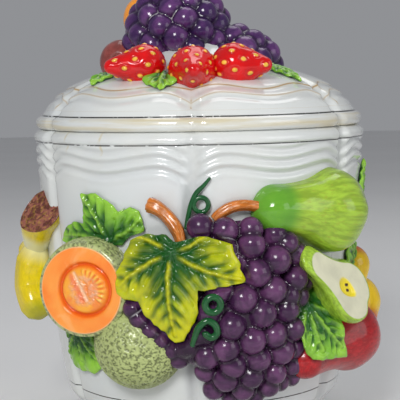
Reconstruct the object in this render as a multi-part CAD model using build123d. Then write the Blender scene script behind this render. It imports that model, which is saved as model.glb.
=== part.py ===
"""A lobed ceramic biscuit jar with a lift-off lid and hand-applied fruit.

The jar is a slip-cast pot with six shallow lobes that meet in narrow upright grooves, a rounded
rim and a foot ring. The lid is a lobed dome with a flange that drops into the mouth and carries a
soft seal. Fruit, leaves, stems and tendrils are pressed one by one and luted on to the pot and
the lid, so each of them is a solid of its own that ends face to face with what carries it.

Frame: +Z up, origin at the middle of the foot ring's underside. The front groove faces -Y.
An azimuth is in degrees round +Z from -Y towards +X. All lengths are in millimetres.
"""

from build123d import *
from math import acos, atan2, cos, pi, radians, sin, sqrt
import os

os.makedirs("parts", exist_ok=True)

# ---------------------------------------------------------------- driving dimensions
LOBES = 6
JOINT_HEIGHT = 180.0  # where the lid's band meets the jar's rim
RIM_RADIUS = 100.0  # at the middle of a lobe
GROOVE_DEPTH = 3.2
GROOVE_HALF_ANGLE = 3.2  # degrees
LOBE_SHOULDER = 0.985  # radius where a lobe meets its groove, as a share of the lobe's own
SEATING = 0.992  # radius that the fruit are pressed in to, as a share of the lobe's own

FOOT_RADIUS = 59.0
FOOT_HEIGHT = 4.0
FOOT_RECESS = 2.5
FOOT_RING_WIDTH = 6.0
FLOOR_HEIGHT = 11.0
BELLY_HEIGHT = 26.0  # where the curve of the base meets the wall
RIM_BEAD_HEIGHT = 168.0
BELLY_RADIUS = 84.0
BEAD_RADIUS = 98.6

MOUTH_RADIUS = 90.0
MOUTH_DEPTH = 28.0
FLANGE_GAP = 3.6  # mouth wall to flange wall, partly filled by the seal
FLANGE_DEPTH = 13.0
FLANGE_WALL = 4.5
SEAL_SKIN = 1.4
SEAL_CLEARANCE = 0.4
SEAL_FINS = 3
SEAL_FIN_THICKNESS = 1.2

BAND_HEIGHT = 8.0
BAND_RADIUS = 98.6

# moulded lines under the rim, the same on every lobe: each swings up to a crest on both sides
# of the lobe's middle and then down towards the grooves
WAVES = [(169.0, 7.6), (163.0, 8.6), (156.5, 8.2)]  # height at the lobe's middle, drop from the crests
WAVE_RISE = 3.6  # from the lobe's middle to the crests
WAVE_TRACK = [  # degrees from the lobe's middle, share of the rise, share of the drop
    (0.0, 0.0, 0.0), (10.0, 0.52, 0.0), (19.5, 1.0, 0.0), (24.0, 1.0, 0.24), (27.5, 1.0, 0.62),
]
WAVE_DEPTH = 1.1
WAVE_CUTTER_RADIUS = 2.2
WAVE_RUN_OUT = 0.4  # the cutter's clearance from the wall at both ends of a line

LEAF_THICKNESS = 3.4
GRAPE_RADIUS = 7.2
GRAPE_PITCH = 13.5  # up and down a column of grapes
LID_GRAPE_RADIUS = 7.8

# outlines as (height, radius at the middle of a lobe)
BASE_OUTLINE = [(FOOT_HEIGHT, 61.0), (8.0, 68.6), (13.0, 75.0), (19.0, 80.2), (BELLY_HEIGHT, BELLY_RADIUS)]
WALL_OUTLINE = [
    (BELLY_HEIGHT, BELLY_RADIUS), (60.0, 89.6), (95.0, 93.2), (130.0, 96.2), (RIM_BEAD_HEIGHT, BEAD_RADIUS),
]
RIM_OUTLINE = [
    (RIM_BEAD_HEIGHT, BEAD_RADIUS), (171.0, 99.6), (174.0, RIM_RADIUS), (177.0, 99.2), (JOINT_HEIGHT, 96.0),
]
BASE_HOLLOW = [(FLOOR_HEIGHT, 58.0), (14.0, 65.0), (19.0, 71.5), (BELLY_HEIGHT, 76.4)]
WALL_HOLLOW = [
    (BELLY_HEIGHT, 76.4), (60.0, 82.2), (95.0, 86.0), (130.0, 88.4),
    (JOINT_HEIGHT - MOUTH_DEPTH, MOUTH_RADIUS),
]
BAND_TOP = JOINT_HEIGHT + BAND_HEIGHT
BAND_OUTLINE = [(JOINT_HEIGHT, 95.6), (182.0, 97.9), (184.2, BAND_RADIUS), (186.2, 97.8), (BAND_TOP, 95.0)]
DOME_OUTLINE = [(BAND_TOP, 95.0), (193.0, 91.2), (198.0, 87.0), (203.0, 80.8), (208.0, 71.0), (212.0, 59.5)]
CROWN_OUTLINE = [(212.0, 59.5), (216.0, 47.0), (221.0, 37.0), (227.0, 28.0), (232.0, 20.0)]
DOME_HOLLOW = [
    (JOINT_HEIGHT + 2, 80.0), (190.0, 79.0), (196.0, 75.0), (201.5, 66.0), (206.0, 54.0), (211.0, 40.0),
]


# ---------------------------------------------------------------- points and places
def at(azimuth, radius, height):
    """The point at that azimuth, radius and height."""
    return Vector(radius * sin(radians(azimuth)), -radius * cos(radians(azimuth)), height)


def span(tail, head):
    """A place half-way between two points, with local X from tail to head and Z outwards."""
    middle = (tail + head) * 0.5
    outwards = Vector(middle.X, middle.Y, 0)
    return Plane(origin=middle, x_dir=head - tail, z_dir=outwards).location


def facing(azimuth, radius, height, spin=0.0, pitch=0.0):
    """A place with local X to the right, Y up and Z outwards, spun in its plane and then pitched."""
    outwards = at(azimuth, 1, 0)
    right = Vector(-outwards.Y, outwards.X, 0)
    seat = Plane(origin=at(azimuth, radius, height), x_dir=right, z_dir=outwards)
    return seat.location * Rot(pitch, 0, 0) * Rot(0, 0, spin)


def outline_radius(outline, height):
    """The outline's radius at that height, by straight lines between its points."""
    for (low, low_radius), (high, high_radius) in zip(outline, outline[1:]):
        if low <= height <= high:
            return low_radius + (high_radius - low_radius) * (height - low) / (high - low)
    raise ValueError("height outside the outline")


def wall_radius(height):
    """The pot's radius at that height, at the middle of a lobe."""
    return outline_radius(BASE_OUTLINE[:-1] + WALL_OUTLINE[:-1] + RIM_OUTLINE, height)


# ---------------------------------------------------------------- lobed forms
def lobed_wire(radius, height):
    """A level outline of six arcs that meet in six hollow grooves."""
    half_lobe = 180 / LOBES
    shoulder = radius * LOBE_SHOULDER
    edges = []
    for k in range(LOBES):
        valley = 2 * half_lobe * k
        start = at(valley - GROOVE_HALF_ANGLE, shoulder, height)
        end = at(valley + GROOVE_HALF_ANGLE, shoulder, height)
        far = at(valley + 2 * half_lobe - GROOVE_HALF_ANGLE, shoulder, height)
        edges.append(ThreePointArc(start, at(valley, shoulder - GROOVE_DEPTH, height), end))
        edges.append(ThreePointArc(end, at(valley + half_lobe, radius, height), far))
    return Wire(edges)


def lobed_loft(outline):
    """A solid through the lobed wires of an outline."""
    return Solid.make_loft([lobed_wire(radius, height) for height, radius in outline])


def lobed_prism(radius, low, high):
    """An upright lobed solid."""
    return Solid.make_loft([lobed_wire(radius, low), lobed_wire(radius, high)], ruled=True)


def turned(outline, grow=0.0):
    """A plain turned block from an outline, its radii grown by that much."""
    sides = [(radius + grow, height) for height, radius in outline]
    profile = Polyline((0, outline[0][0]), *sides, (0, outline[-1][0]), close=True)
    return revolve(Plane.XZ * make_face(profile), Axis.Z)


def jacket(outline, inner, outer):
    """The turned space from inner to outer millimetres off an outline."""
    return turned(outline, outer) - turned(outline, inner)


# ---------------------------------------------------------------- the pot
def wave_cutter(middle, height, drop):
    """A round bar bent along one moulded line of one lobe. It leaves the wall at its ends."""
    half_lobe = 180 / LOBES
    sides = []
    for side in (-1, 1):
        track = []
        for turn, risen, dropped in WAVE_TRACK:
            z = height + WAVE_RISE * risen - drop * dropped
            flattening = (1 - LOBE_SHOULDER) * (turn / (half_lobe - GROOVE_HALF_ANGLE)) ** 2
            outwards = WAVE_CUTTER_RADIUS - WAVE_DEPTH
            if turn == WAVE_TRACK[-1][0]:
                outwards = WAVE_CUTTER_RADIUS + WAVE_RUN_OUT
            track.append(at(middle + side * turn, wall_radius(z) * (1 - flattening) + outwards, z))
        sides.append(track)
    path = Spline(*sides[0][:0:-1], *sides[1])
    return sweep(Plane(origin=path @ 0, z_dir=path % 0) * Circle(WAVE_CUTTER_RADIUS), path)


def make_pot():
    """The hollow pot with its foot ring and the moulded lines under its rim."""
    foot = Pos(0, 0, FOOT_HEIGHT / 2) * Cylinder(FOOT_RADIUS, FOOT_HEIGHT)
    recess = Pos(0, 0, FOOT_RECESS / 2) * Cylinder(FOOT_RADIUS - FOOT_RING_WIDTH, FOOT_RECESS)
    mouth = lobed_prism(MOUTH_RADIUS, JOINT_HEIGHT - MOUTH_DEPTH, JOINT_HEIGHT + 1)
    outside = foot + lobed_loft(BASE_OUTLINE) + lobed_loft(WALL_OUTLINE) + lobed_loft(RIM_OUTLINE)
    lobe_middles = [(2 * k + 1) * 180 / LOBES for k in range(LOBES)]
    lines = [wave_cutter(middle, *wave) for middle in lobe_middles for wave in WAVES]
    return outside.cut(*lines) - lobed_loft(BASE_HOLLOW) - lobed_loft(WALL_HOLLOW) - mouth - recess


# ---------------------------------------------------------------- the lid
def make_lid():
    """The hollow lid with the flange that drops into the mouth."""
    block = lobed_loft(BAND_OUTLINE) + lobed_loft(DOME_OUTLINE) + lobed_loft(CROWN_OUTLINE)
    flange_radius = MOUTH_RADIUS - FLANGE_GAP
    flange_low = JOINT_HEIGHT - FLANGE_DEPTH
    flange = lobed_prism(flange_radius, flange_low, JOINT_HEIGHT)
    bore = lobed_prism(flange_radius - FLANGE_WALL, flange_low - 1, JOINT_HEIGHT + 2)
    return block + flange - bore - lobed_loft(DOME_HOLLOW)


def make_seal():
    """The soft ring on the flange: a thin sleeve with fins that reach for the mouth's wall."""
    inner = MOUTH_RADIUS - FLANGE_GAP
    low = JOINT_HEIGHT - FLANGE_DEPTH + 1.5
    high = JOINT_HEIGHT - 1.5
    seal = lobed_prism(inner + SEAL_SKIN, low, high)
    fin_pitch = (high - low) / SEAL_FINS
    for k in range(SEAL_FINS):
        fin_low = low + fin_pitch * (k + 0.35)
        seal += lobed_prism(MOUTH_RADIUS - SEAL_CLEARANCE, fin_low, fin_low + SEAL_FIN_THICKNESS)
    return seal - lobed_prism(inner, low - 1, high + 1)


# ---------------------------------------------------------------- forms that the fruit share
def ball(place, radius):
    """A ball."""
    return place * Sphere(radius)


def oval(place, x, y, z):
    """An egg-smooth block with these half-widths."""
    return place * scale(Sphere(1), by=(x, y, z))


def turned_between(tail, head, sides):
    """A form turned about the line from tail to head, from the edges of one side of its profile."""
    half = (head - tail).length / 2
    return span(tail, head) * revolve(make_face([*sides, Line((half, 0), (-half, 0))]), Axis.X)


def arc_about(centre, radius, first, last):
    """An arc about a point, from one direction to another in radians from local X."""
    turns = (first, (first + last) / 2, last)
    return ThreePointArc(*[(centre[0] + radius * cos(t), centre[1] + radius * sin(t)) for t in turns])


def egg(tail, head, small, large):
    """A small ball at tail and a large one at head, in one taut skin."""
    half = (head - tail).length / 2
    small_at, large_at = small - half, half - large
    lean = acos((small - large) / (large_at - small_at))
    first = arc_about((small_at, 0), small, pi, lean)
    last = arc_about((large_at, 0), large, lean, 0)
    return turned_between(tail, head, [first, Line(first @ 1, last @ 0), last])


def pear(tail, head, neck, belly, waist):
    """A pear: two balls joined by a hollow curve of the waist's radius."""
    half = (head - tail).length / 2
    neck_at, belly_at = neck - half, half - belly
    reach, neck_side, belly_side = belly_at - neck_at, neck + waist, belly + waist
    along = (reach**2 + neck_side**2 - belly_side**2) / (2 * reach)
    hollow = (neck_at + along, sqrt(neck_side**2 - along**2))
    neck_turn = atan2(hollow[1], hollow[0] - neck_at)
    belly_turn = atan2(hollow[1], hollow[0] - belly_at)
    sides = [
        arc_about((neck_at, 0), neck, pi, neck_turn),
        arc_about(hollow, waist, neck_turn + pi, belly_turn + pi),
        arc_about((belly_at, 0), belly, belly_turn, 0),
    ]
    return turned_between(tail, head, sides)


def rod(start, middle, end, radius):
    """A round rod bent in one arc through three points."""
    path = ThreePointArc(start, middle, end)
    return sweep(Plane(origin=path @ 0, z_dir=path % 0) * Circle(radius), path)


def banana(start, middle, end, radius):
    """A banana along one arc through three points, tapered to both ends."""
    path = ThreePointArc(start, middle, end)
    taper = [(0.0, 0.55), (0.15, 0.82), (0.4, 1.0), (0.65, 0.98), (0.85, 0.74), (1.0, 0.34)]
    rings = [Wire.make_circle(radius * share, Plane(origin=path @ t, z_dir=path % t)) for t, share in taper]
    return Solid.make_loft(rings)


def spread_outline(place, reaches):
    """A leaf's outline from (direction in degrees clockwise from up, reach) pairs."""
    corners = [(reach * sin(radians(turn)), reach * cos(radians(turn))) for turn, reach in reaches]
    return place * make_face(Polyline(*corners, close=True))


def pointed_outline(place, length, width):
    """A pointed leaf's outline, with its base at the place and its tip along local Y."""
    right = Spline((0, 0), (0.42 * width, 0.25 * length), (0.42 * width, 0.6 * length), (0, length))
    left = Spline((0, length), (-0.42 * width, 0.6 * length), (-0.42 * width, 0.25 * length), (0, 0))
    return place * make_face([right, left])


def press(outline, direction, space, reach=22):
    """A leaf: the outline pushed both ways along a direction, kept where it meets the space."""
    slab = extrude(outline, amount=reach, dir=direction, both=True)
    return largest(slab & space)


def largest(shape):
    """The biggest solid of a shape."""
    return max(shape.solids(), key=lambda solid: solid.volume)


def boxes_meet(one, other):
    """Whether two shapes' boxes overlap."""
    a, b = one.bounding_box(), other.bounding_box()
    return all(
        low < high
        for low, high in (
            (a.min.X, b.max.X), (b.min.X, a.max.X), (a.min.Y, b.max.Y),
            (b.min.Y, a.max.Y), (a.min.Z, b.max.Z), (b.min.Z, a.max.Z),
        )
    )


def seat(piece, carriers):
    """The piece without what lies inside its carriers."""
    for carrier in carriers:
        if boxes_meet(piece, carrier):
            piece = piece - carrier
    return largest(piece)


# ---------------------------------------------------------------- fruit on the pot
def make_bananas():
    """The cut stalk of the bunch and three fingers that lie back round the pot."""
    return {
        "banana_crown": egg(at(-79, 98, 110), at(-56, 98, 149), small=11, large=13),
        "banana_front": banana(at(-74, 97, 112), at(-79, 103, 92), at(-76, 98, 66), 11.5),
        "banana_middle": banana(at(-80, 97, 114), at(-91, 103, 92), at(-99, 97, 68), 11.5),
        "banana_back": banana(at(-84, 97, 120), at(-100, 101, 106), at(-118, 96, 92), 11),
    }


def make_melon_half():
    """Half a melon, its cut face outwards, with the seed mass standing in a hollow."""
    place = facing(-31, 115, 95)
    half = place * (Sphere(24) - Pos(0, 0, 24) * Box(60, 60, 48))
    hollow = oval(place * Pos(1, -1, 0), 11, 13, 2.5)
    seeds = oval(place * Pos(1.5, -1.5, -2), 8.5, 10.5, 4.2)
    return half - hollow + seeds


def make_pear_cut():
    """Half a pear, its cut face outwards."""
    tail, head = at(32, 110, 116), at(58, 112, 79)
    whole = pear(tail, head, neck=9, belly=20.5, waist=60)
    return whole - span(tail, head) * Pos(0, 0, 30) * Box(90, 90, 60)


VINE_LEAF = [
    (0, 4), (-45, 13), (-62, 19), (-80, 24), (-108, 32), (-122, 37), (-136, 38), (-146, 33), (-160, 38),
    (178, 50), (166, 44), (156, 35), (148, 27), (131, 33), (113, 43), (102, 38), (88, 32), (68, 21), (50, 12),
]
THREE_LOBED_LEAF = [
    (-14, 22), (-30, 29), (-44, 24), (-60, 15), (-68, 24), (-80, 27), (-100, 20), (-140, 8),
    (160, 6), (105, 14), (74, 22), (54, 23), (38, 19), (24, 15), (4, 18),
]


def make_vine_leaf():
    """The broad leaf that lies over the top of the bunch."""
    place = facing(-5.5, 105, 118)
    shell_middle = facing(-4, 46, 102)
    space = ball(shell_middle, 70) - ball(shell_middle, 70 - LEAF_THICKNESS)
    return press(spread_outline(place, VINE_LEAF), at(-5.5, 1, 0), space)


def make_wall_leaves():
    """The leaves that lie against the pot's wall."""
    flat = jacket(WALL_OUTLINE, -2, LEAF_THICKNESS)
    raised = jacket(WALL_OUTLINE, 5, 5 + LEAF_THICKNESS)
    leaves = {}
    place = facing(-26, 100, 124)
    leaves["leaf_upper_left"] = press(spread_outline(place, THREE_LOBED_LEAF), at(-26, 1, 0), flat)
    place = facing(-43, 95, 76, spin=190)
    leaves["leaf_lower_left"] = press(pointed_outline(place, 32, 22), at(-43, 1, 0), flat)
    place = facing(34, 100, 88, spin=212)
    leaves["leaf_right"] = press(pointed_outline(place, 40, 26), at(40, 1, 0), raised)
    place = facing(80, 100, 128, spin=-14)
    leaves["leaf_far_upper"] = press(pointed_outline(place, 32, 20), at(80, 1, 0), flat)
    place = facing(74, 98, 88, spin=20)
    leaves["leaf_far_lower"] = press(pointed_outline(place, 32, 20), at(74, 1, 0), flat)
    return leaves


def make_stems():
    """Two cut stalks above the bunch."""
    return {
        "stem_left": rod(at(-13, 99, 143), at(-6, 101, 138), at(-2.5, 103, 122), 3.1),
        "stem_right": rod(at(7, 99, 134), at(13, 100, 140.5), at(21, 101, 139), 2.6),
    }


def make_tendrils():
    """Two curling tendrils, each a bent rod with a ring."""
    upper = rod(at(5.5, 97.5, 155), at(0, 97.5, 144), at(-1.5, 98, 129), 1.3)
    upper += facing(3.2, 97.5, 140.5) * Torus(3.6, 1.3)
    lower = rod(at(9, 113, 90), at(7, 113, 79), at(2, 113, 72), 1.8)
    lower += facing(5.5, 113.5, 90) * Torus(4.3, 1.8)
    return {"tendril_upper": upper, "tendril_lower": lower}


# columns of the bunch: (azimuth, height of the top grape, grapes)
GRAPE_COLUMNS = [
    (-14.5, 84, 1), (-9, 91, 2), (-3.5, 98, 3), (2, 131, 7), (7.5, 124.5, 7),
    (13, 131, 8), (18.5, 124.5, 7), (24, 117.5, 7), (29.5, 110.5, 6),
]
BUNCH_MIDDLE = (16, 84)  # azimuth and height where the bunch is deepest
BUNCH_REACH = (30, 64)
BUNCH_EDGE = 3.0  # a grape's middle off the wall at the edge of the bunch
BUNCH_BULGE = 12.5
BUNCH_CORE_RADIUS = 30.0  # three balls behind the grapes fill the bunch up to the wall
BUNCH_CORE_DEPTH = 80.0  # from the jar's axis to their middles
BUNCH_CORES = (109, 84, 59)  # their heights


def bunch_standoff(azimuth, height):
    """How far a grape's middle stands off the wall."""
    across = (azimuth - BUNCH_MIDDLE[0]) / BUNCH_REACH[0]
    along = (height - BUNCH_MIDDLE[1]) / BUNCH_REACH[1]
    return BUNCH_EDGE + BUNCH_BULGE * max(0, 1 - across**2 - along**2)


def make_front_grapes():
    """The big bunch: columns of grapes on three larger balls that fill it up to the wall."""
    cores = []
    for height in BUNCH_CORES:
        cores.append(ball(facing(BUNCH_MIDDLE[0], BUNCH_CORE_DEPTH, height), BUNCH_CORE_RADIUS))
    grapes = []
    for azimuth, top, count in GRAPE_COLUMNS:
        for k in range(count):
            height = top - GRAPE_PITCH * k
            radius = wall_radius(height) + bunch_standoff(azimuth, height)
            seam_inwards = Location(at(azimuth, radius, height), (0, 0, azimuth + 90))
            grapes.append(ball(seam_inwards, GRAPE_RADIUS))
    return cores[0].fuse(*cores[1:], *grapes)


def make_round_fruit():
    """The melon, the pears and the two small fruits at the right."""
    return {
        "melon_whole": ball(facing(-18.6, 90, 64), 25),
        "pear_green": pear(at(18.7, 105.7, 136.5), at(62.7, 96.5, 136.5), neck=13.5, belly=23.5, waist=45),
        "pear_red": pear(at(32.3, 100, 49), at(77.9, 97, 59.5), neck=9.5, belly=20, waist=45),
        "peach_upper": egg(at(76, 92, 78), at(82, 91, 111), small=11, large=13),
        "peach_lower": egg(at(78, 94, 55), at(91, 95, 90), small=14, large=16.5),
    }


def make_pot_fruit():
    """Everything on the pot. Each piece gives way to the pot and to the pieces placed before it."""
    wall = turned([(height, radius * SEATING) for height, radius in WALL_OUTLINE])
    placed = {}
    loose = {"vine_leaf": make_vine_leaf()}
    loose.update(make_tendrils())
    leaves = make_wall_leaves()
    loose["leaf_right"] = leaves.pop("leaf_right")
    loose["melon_half"] = make_melon_half()
    loose["pear_cut"] = make_pear_cut()
    loose.update(make_round_fruit())
    loose.update(make_bananas())
    loose["grapes_front"] = make_front_grapes()
    loose.update(make_stems())
    loose.update(leaves)
    for name, piece in loose.items():
        placed[name] = seat(piece, [wall, *placed.values()])
    return placed


# ---------------------------------------------------------------- fruit on the lid
HEAPS = [  # balls of the lid's bunch: middle, radius, grapes spread over each
    ((-15, 0, 231), 31, 50),
    ((24, 0, 220), 20, 22),
]
HEAP_LOWEST = -0.35  # how far down a ball its grapes reach, as a share of its radius
GOLDEN_ANGLE = pi * (3 - sqrt(5))


def heap_points(heap):
    """Grape middles spread evenly down a ball from its top, in a spiral."""
    (x, y, z), radius, count = heap
    for k in range(count):
        level = 1 - (1 - HEAP_LOWEST) * (k + 0.5) / count
        ring = radius * sqrt(1 - level**2)
        turn = GOLDEN_ANGLE * k
        yield Vector(x + ring * cos(turn), y + ring * sin(turn), z + radius * level)


def make_lid_grapes():
    """The heap of grapes that serves as the lid's handle."""
    balls = []
    for heap, other in (HEAPS, HEAPS[::-1]):
        balls.append(Pos(*heap[0]) * Sphere(heap[1]))
        for point in heap_points(heap):
            if (point - Vector(*other[0])).length > other[1]:
                balls.append(Pos(*point) * Sphere(LID_GRAPE_RADIUS))
    return balls[0].fuse(*balls[1:])


def make_lid_leaves():
    """The leaves that lie on the lid's dome."""
    outline = [(height + 0.8 * LEAF_THICKNESS, radius) for height, radius in DOME_OUTLINE + CROWN_OUTLINE[1:]]
    space = turned(outline, 0.5 * LEAF_THICKNESS) - turned(DOME_OUTLINE + CROWN_OUTLINE[1:], -2)
    up = Vector(0, 0, 1)
    leaves = {}
    for name, azimuth, radius, length, width, spin in (
        ("lid_leaf_left", -58, 58, 19, 12, 4),
        ("lid_leaf_centre", -15, 60, 19, 18, -10),
        ("lid_leaf_right", 62, 46, 24, 13, 10),
        ("lid_leaf_back_left", -150, 50, 26, 16, 15),
        ("lid_leaf_back_right", 140, 50, 26, 16, -15),
    ):
        base = at(azimuth, radius, 230)
        place = Plane(origin=base, x_dir=at(azimuth - 90 + spin, 1, 0), z_dir=up).location
        leaves[name] = press(pointed_outline(place, length, width), up, space, reach=60)
    return leaves


def make_lid_fruit():
    """Everything on the lid, each piece giving way to the lid and to the pieces placed before it."""
    dome = turned([(height, radius * SEATING) for height, radius in DOME_OUTLINE + CROWN_OUTLINE[1:]])
    loose = {
        "strawberry_centre": egg(at(0, 82, 203), at(-1, 54, 224), small=6, large=13.5),
        "strawberry_left": egg(at(-42, 76, 207), at(-17, 60, 220), small=5, large=12.5),
        "strawberry_right": egg(at(40, 76, 207), at(15, 60, 220), small=5.5, large=13),
        "lid_apple": ball(Pos(-50, 9, 221), 13.5),
        "lid_orange": ball(Pos(-29, 25, 241), 16),
    }
    loose["lid_grapes"] = make_lid_grapes()
    loose.update(make_lid_leaves())
    placed = {}
    for name, piece in loose.items():
        placed[name] = seat(piece, [dome, *placed.values()])
    return placed


# ---------------------------------------------------------------- build and write
nodes = {"jar_body": make_pot(), "lid_shell": make_lid(), "lid_seal": make_seal()}
nodes.update(make_pot_fruit())
nodes.update(make_lid_fruit())

for node_name, shape in nodes.items():
    export_step(shape, f"parts/{node_name}.step")
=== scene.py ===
import math

import bpy
import numpy as np
from mathutils import Matrix, Vector, noise


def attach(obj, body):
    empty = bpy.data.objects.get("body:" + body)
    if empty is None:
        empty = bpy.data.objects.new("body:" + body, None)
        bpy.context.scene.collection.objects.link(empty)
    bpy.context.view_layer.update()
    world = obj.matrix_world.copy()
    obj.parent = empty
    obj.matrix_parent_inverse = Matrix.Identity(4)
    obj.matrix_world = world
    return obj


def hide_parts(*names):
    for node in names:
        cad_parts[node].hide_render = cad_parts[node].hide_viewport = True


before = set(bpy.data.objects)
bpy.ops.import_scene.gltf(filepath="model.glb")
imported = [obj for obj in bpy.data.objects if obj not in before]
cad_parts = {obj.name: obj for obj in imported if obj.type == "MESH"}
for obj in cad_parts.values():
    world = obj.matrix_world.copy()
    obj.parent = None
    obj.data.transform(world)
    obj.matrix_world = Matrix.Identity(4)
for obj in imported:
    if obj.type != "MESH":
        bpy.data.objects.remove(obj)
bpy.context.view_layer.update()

bl_info = {
    "name": "Fruit Biscuit Jar",
    "version": (1, 0, 0),
    "blender": (4, 5, 0),
    "location": "View3D > Sidebar > Biscuit Jar",
    "description": "Dresses the biscuit jar: glazed pot and lid, and the hand-applied fruit on both",
    "category": "Object",
}

MM = 0.001

# -------------------- the jar's own lines, in millimetres
# outlines are (height, radius at the middle of a lobe); an azimuth is in degrees from -Y towards +X
LOBE_ANGLE = 60.0
LOBE_SHOULDER = 0.985  # share of the radius that is left beside a groove
LOBES_FADE_IN = (50, 60)  # radii between which the lobes grow from nothing
JOINT_HEIGHT = 180.0
WALL_LINE = [
    (4, 61), (8, 68.6), (13, 75), (19, 80.2), (26, 84), (60, 89.6), (95, 93.2), (130, 96.2), (168, 98.6),
]
RIM_LINE = [(168, 98.6), (171, 98.9), (172.6, 98.9)]
RIM_BEAD = [(173.4, 98.9), (174.4, 99.8), (176.2, 99.9), (178, 98.9), (179.4, 97.2), (180, 95.4)]
CAVITY_LINE = [(14, 65), (19, 71.5), (26, 76.4), (60, 82.2), (95, 86), (130, 88.4), (152, 90)]
BAND_LINE = [(180, 95.4), (180.6, 97), (182.2, 98.2), (184.2, 98.5), (186.2, 97.8), (187.7, 95.8)]
DOME_LINE = [(188.4, 94.7), (193, 91.2), (198, 87), (203, 80.8), (208, 71), (212, 59.5)]
CROWN_LINE = [(216, 47), (221, 37), (227, 28), (232, 20)]
LID_CAVITY = [(190, 79), (196, 75), (201.5, 66), (206, 54), (211, 40)]
FOOT_RADIUS = 59.0
FOOT_WIDTH = 6.0
FOOT_RECESS = 2.5
FLOOR_HEIGHT = 11.0
MOUTH_RADIUS = 90.0
FLANGE_RADIUS = 86.4
FLANGE_WALL = 4.5
FLANGE_LOW = 167.0
FOOT_LINE_HEIGHT = 28.5
RIM_LINE_HEIGHT = 173.0
LID_LINE_HEIGHT = 188.1
LINE_HALF_WIDTH = 0.34  # of the fine dark lines at the rim and on the lid
FOOT_LINE_HALF_WIDTH = 0.32
LINE_WOBBLE = 0.6
WAVE_CREST = 19.5  # degrees from mid-lobe to a moulded wave's crest
SUNK = 2.2  # how deep a piece reaches into what carries it


def smooth_step(value, low, high):
    """0 below low, 1 above high, and an even curve between."""
    t = np.clip((value - low) / (high - low), 0, 1)
    return t * t * (3 - 2 * t)


def bell(value, width):
    """1 at 0, falling evenly to both sides."""
    return np.exp(-(value / width) ** 2)


def curve_through(points, per_span=8):
    """A smooth line through the points, as a Catmull-Rom curve."""
    p = np.array(points, float)
    p = np.vstack([2 * p[0] - p[1], p, 2 * p[-1] - p[-2]])
    t = np.linspace(0, 1, per_span, endpoint=False)[:, None]
    spans = []
    for a, b, c, d in zip(p, p[1:], p[2:], p[3:]):
        spans.append(0.5 * (2 * b + (c - a) * t + (2 * a - 5 * b + 4 * c - d) * t**2
                            + (3 * b - a - 3 * c + d) * t**3))
    return np.vstack([*spans, p[-2:-1]])


WALL_CURVE = curve_through(WALL_LINE)
DOME_CURVE = curve_through(DOME_LINE + CROWN_LINE)


def wall_radius(height):
    """The pot's radius at the middle of a lobe."""
    return np.interp(height, WALL_CURVE[:, 0], WALL_CURVE[:, 1])


def dome_height(radius):
    """The lid's height where its radius at the middle of a lobe is this."""
    return np.interp(-radius, -DOME_CURVE[:, 1], DOME_CURVE[:, 0])


def from_groove(azimuth):
    """Degrees from the nearest groove."""
    turn = np.mod(azimuth, LOBE_ANGLE)
    return np.minimum(turn, LOBE_ANGLE - turn)


def lobe_tables(groove_depth, groove_half_angle, softness=0.7, step=0.1):
    """One lobe's share of the radius and its cut in millimetres, softened as thick glaze softens them."""
    turn = np.arange(0, LOBE_ANGLE, step)
    near = from_groove(turn)
    half = LOBE_ANGLE / 2
    hollow = 1 - (near / groove_half_angle) ** 2
    share = 1 - (1 - LOBE_SHOULDER) * np.clip((half - near) / (half - groove_half_angle), 0, 1) ** 2
    cut = np.where(near < groove_half_angle, groove_depth * hollow, 0)
    kernel = bell(near, softness)
    kernel /= kernel.sum()

    def blur(row):
        return np.real(np.fft.ifft(np.fft.fft(row) * np.fft.fft(kernel)))
    return turn, blur(share), blur(cut)


def lobe_at(azimuth, tables):
    """The lobe's share of the radius and its cut at that azimuth."""
    turn, share, cut = tables
    here = np.mod(azimuth, LOBE_ANGLE)
    return [np.interp(here, turn, row, period=LOBE_ANGLE) for row in (share, cut)]


def lobed(radius, azimuth, tables):
    """The radius at that azimuth, from the radius at the middle of a lobe."""
    share, cut = lobe_at(azimuth, tables)
    lobing = smooth_step(radius, *LOBES_FADE_IN)
    return radius * (1 - lobing * (1 - share)) - lobing * cut


def unlobed(radius, azimuth, tables):
    """The radius at the middle of a lobe, from the radius at that azimuth."""
    share, cut = lobe_at(azimuth, tables)
    return (radius + cut) / share


def wave_rise(azimuth, rise, fall):
    """How a moulded wave swings: low at mid-lobe, up to two crests, then down into the groove."""
    off = LOBE_ANGLE / 2 - from_groove(azimuth)
    swell = rise * np.sin(0.5 * math.pi * np.clip(off / WAVE_CREST, 0, 1)) ** 2
    drop = fall * np.clip((off - WAVE_CREST) / (LOBE_ANGLE / 2 - WAVE_CREST), 0, 1) ** 1.7
    return swell - drop



# -------------------- places
def at(azimuth, radius, height):
    """The point at that azimuth, radius and height, in millimetres."""
    a = np.radians(azimuth)
    return np.stack(np.broadcast_arrays(radius * np.sin(a), -radius * np.cos(a), height), -1).astype(float)


def azimuth_of(points):
    """Azimuths of points, in degrees."""
    return np.degrees(np.arctan2(points[..., 0], -points[..., 1]))


def unit(vector):
    """The same directions with a length of 1."""
    return vector / np.linalg.norm(vector, axis=-1, keepdims=True)


def place(origin, x_axis, z_axis):
    """(rotation, origin) of a place with those X and Z directions."""
    z = unit(np.asarray(z_axis, float))
    x = np.asarray(x_axis, float)
    x = unit(x - (x @ z) * z)
    return np.stack([x, np.cross(z, x), z], 1), np.asarray(origin, float)


def facing(azimuth, radius, height, spin=0.0):
    """A place with X to the right, Y up and Z outwards, spun in its own plane."""
    out = at(azimuth, 1, 0)
    right = np.array([-out[1], out[0], 0])
    s = math.radians(spin)
    return place(at(azimuth, radius, height), right * math.cos(s) + np.array([0, 0, math.sin(s)]), out)


def between(tail, head):
    """A place half-way between two points, with X from tail to head and Z outwards."""
    middle = (tail + head) / 2
    return place(middle, head - tail, [middle[0], middle[1], 0])


def laid(points, where):
    """Points of a place's own frame, in the jar's frame."""
    turn, origin = where
    return points @ turn.T + origin


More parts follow.
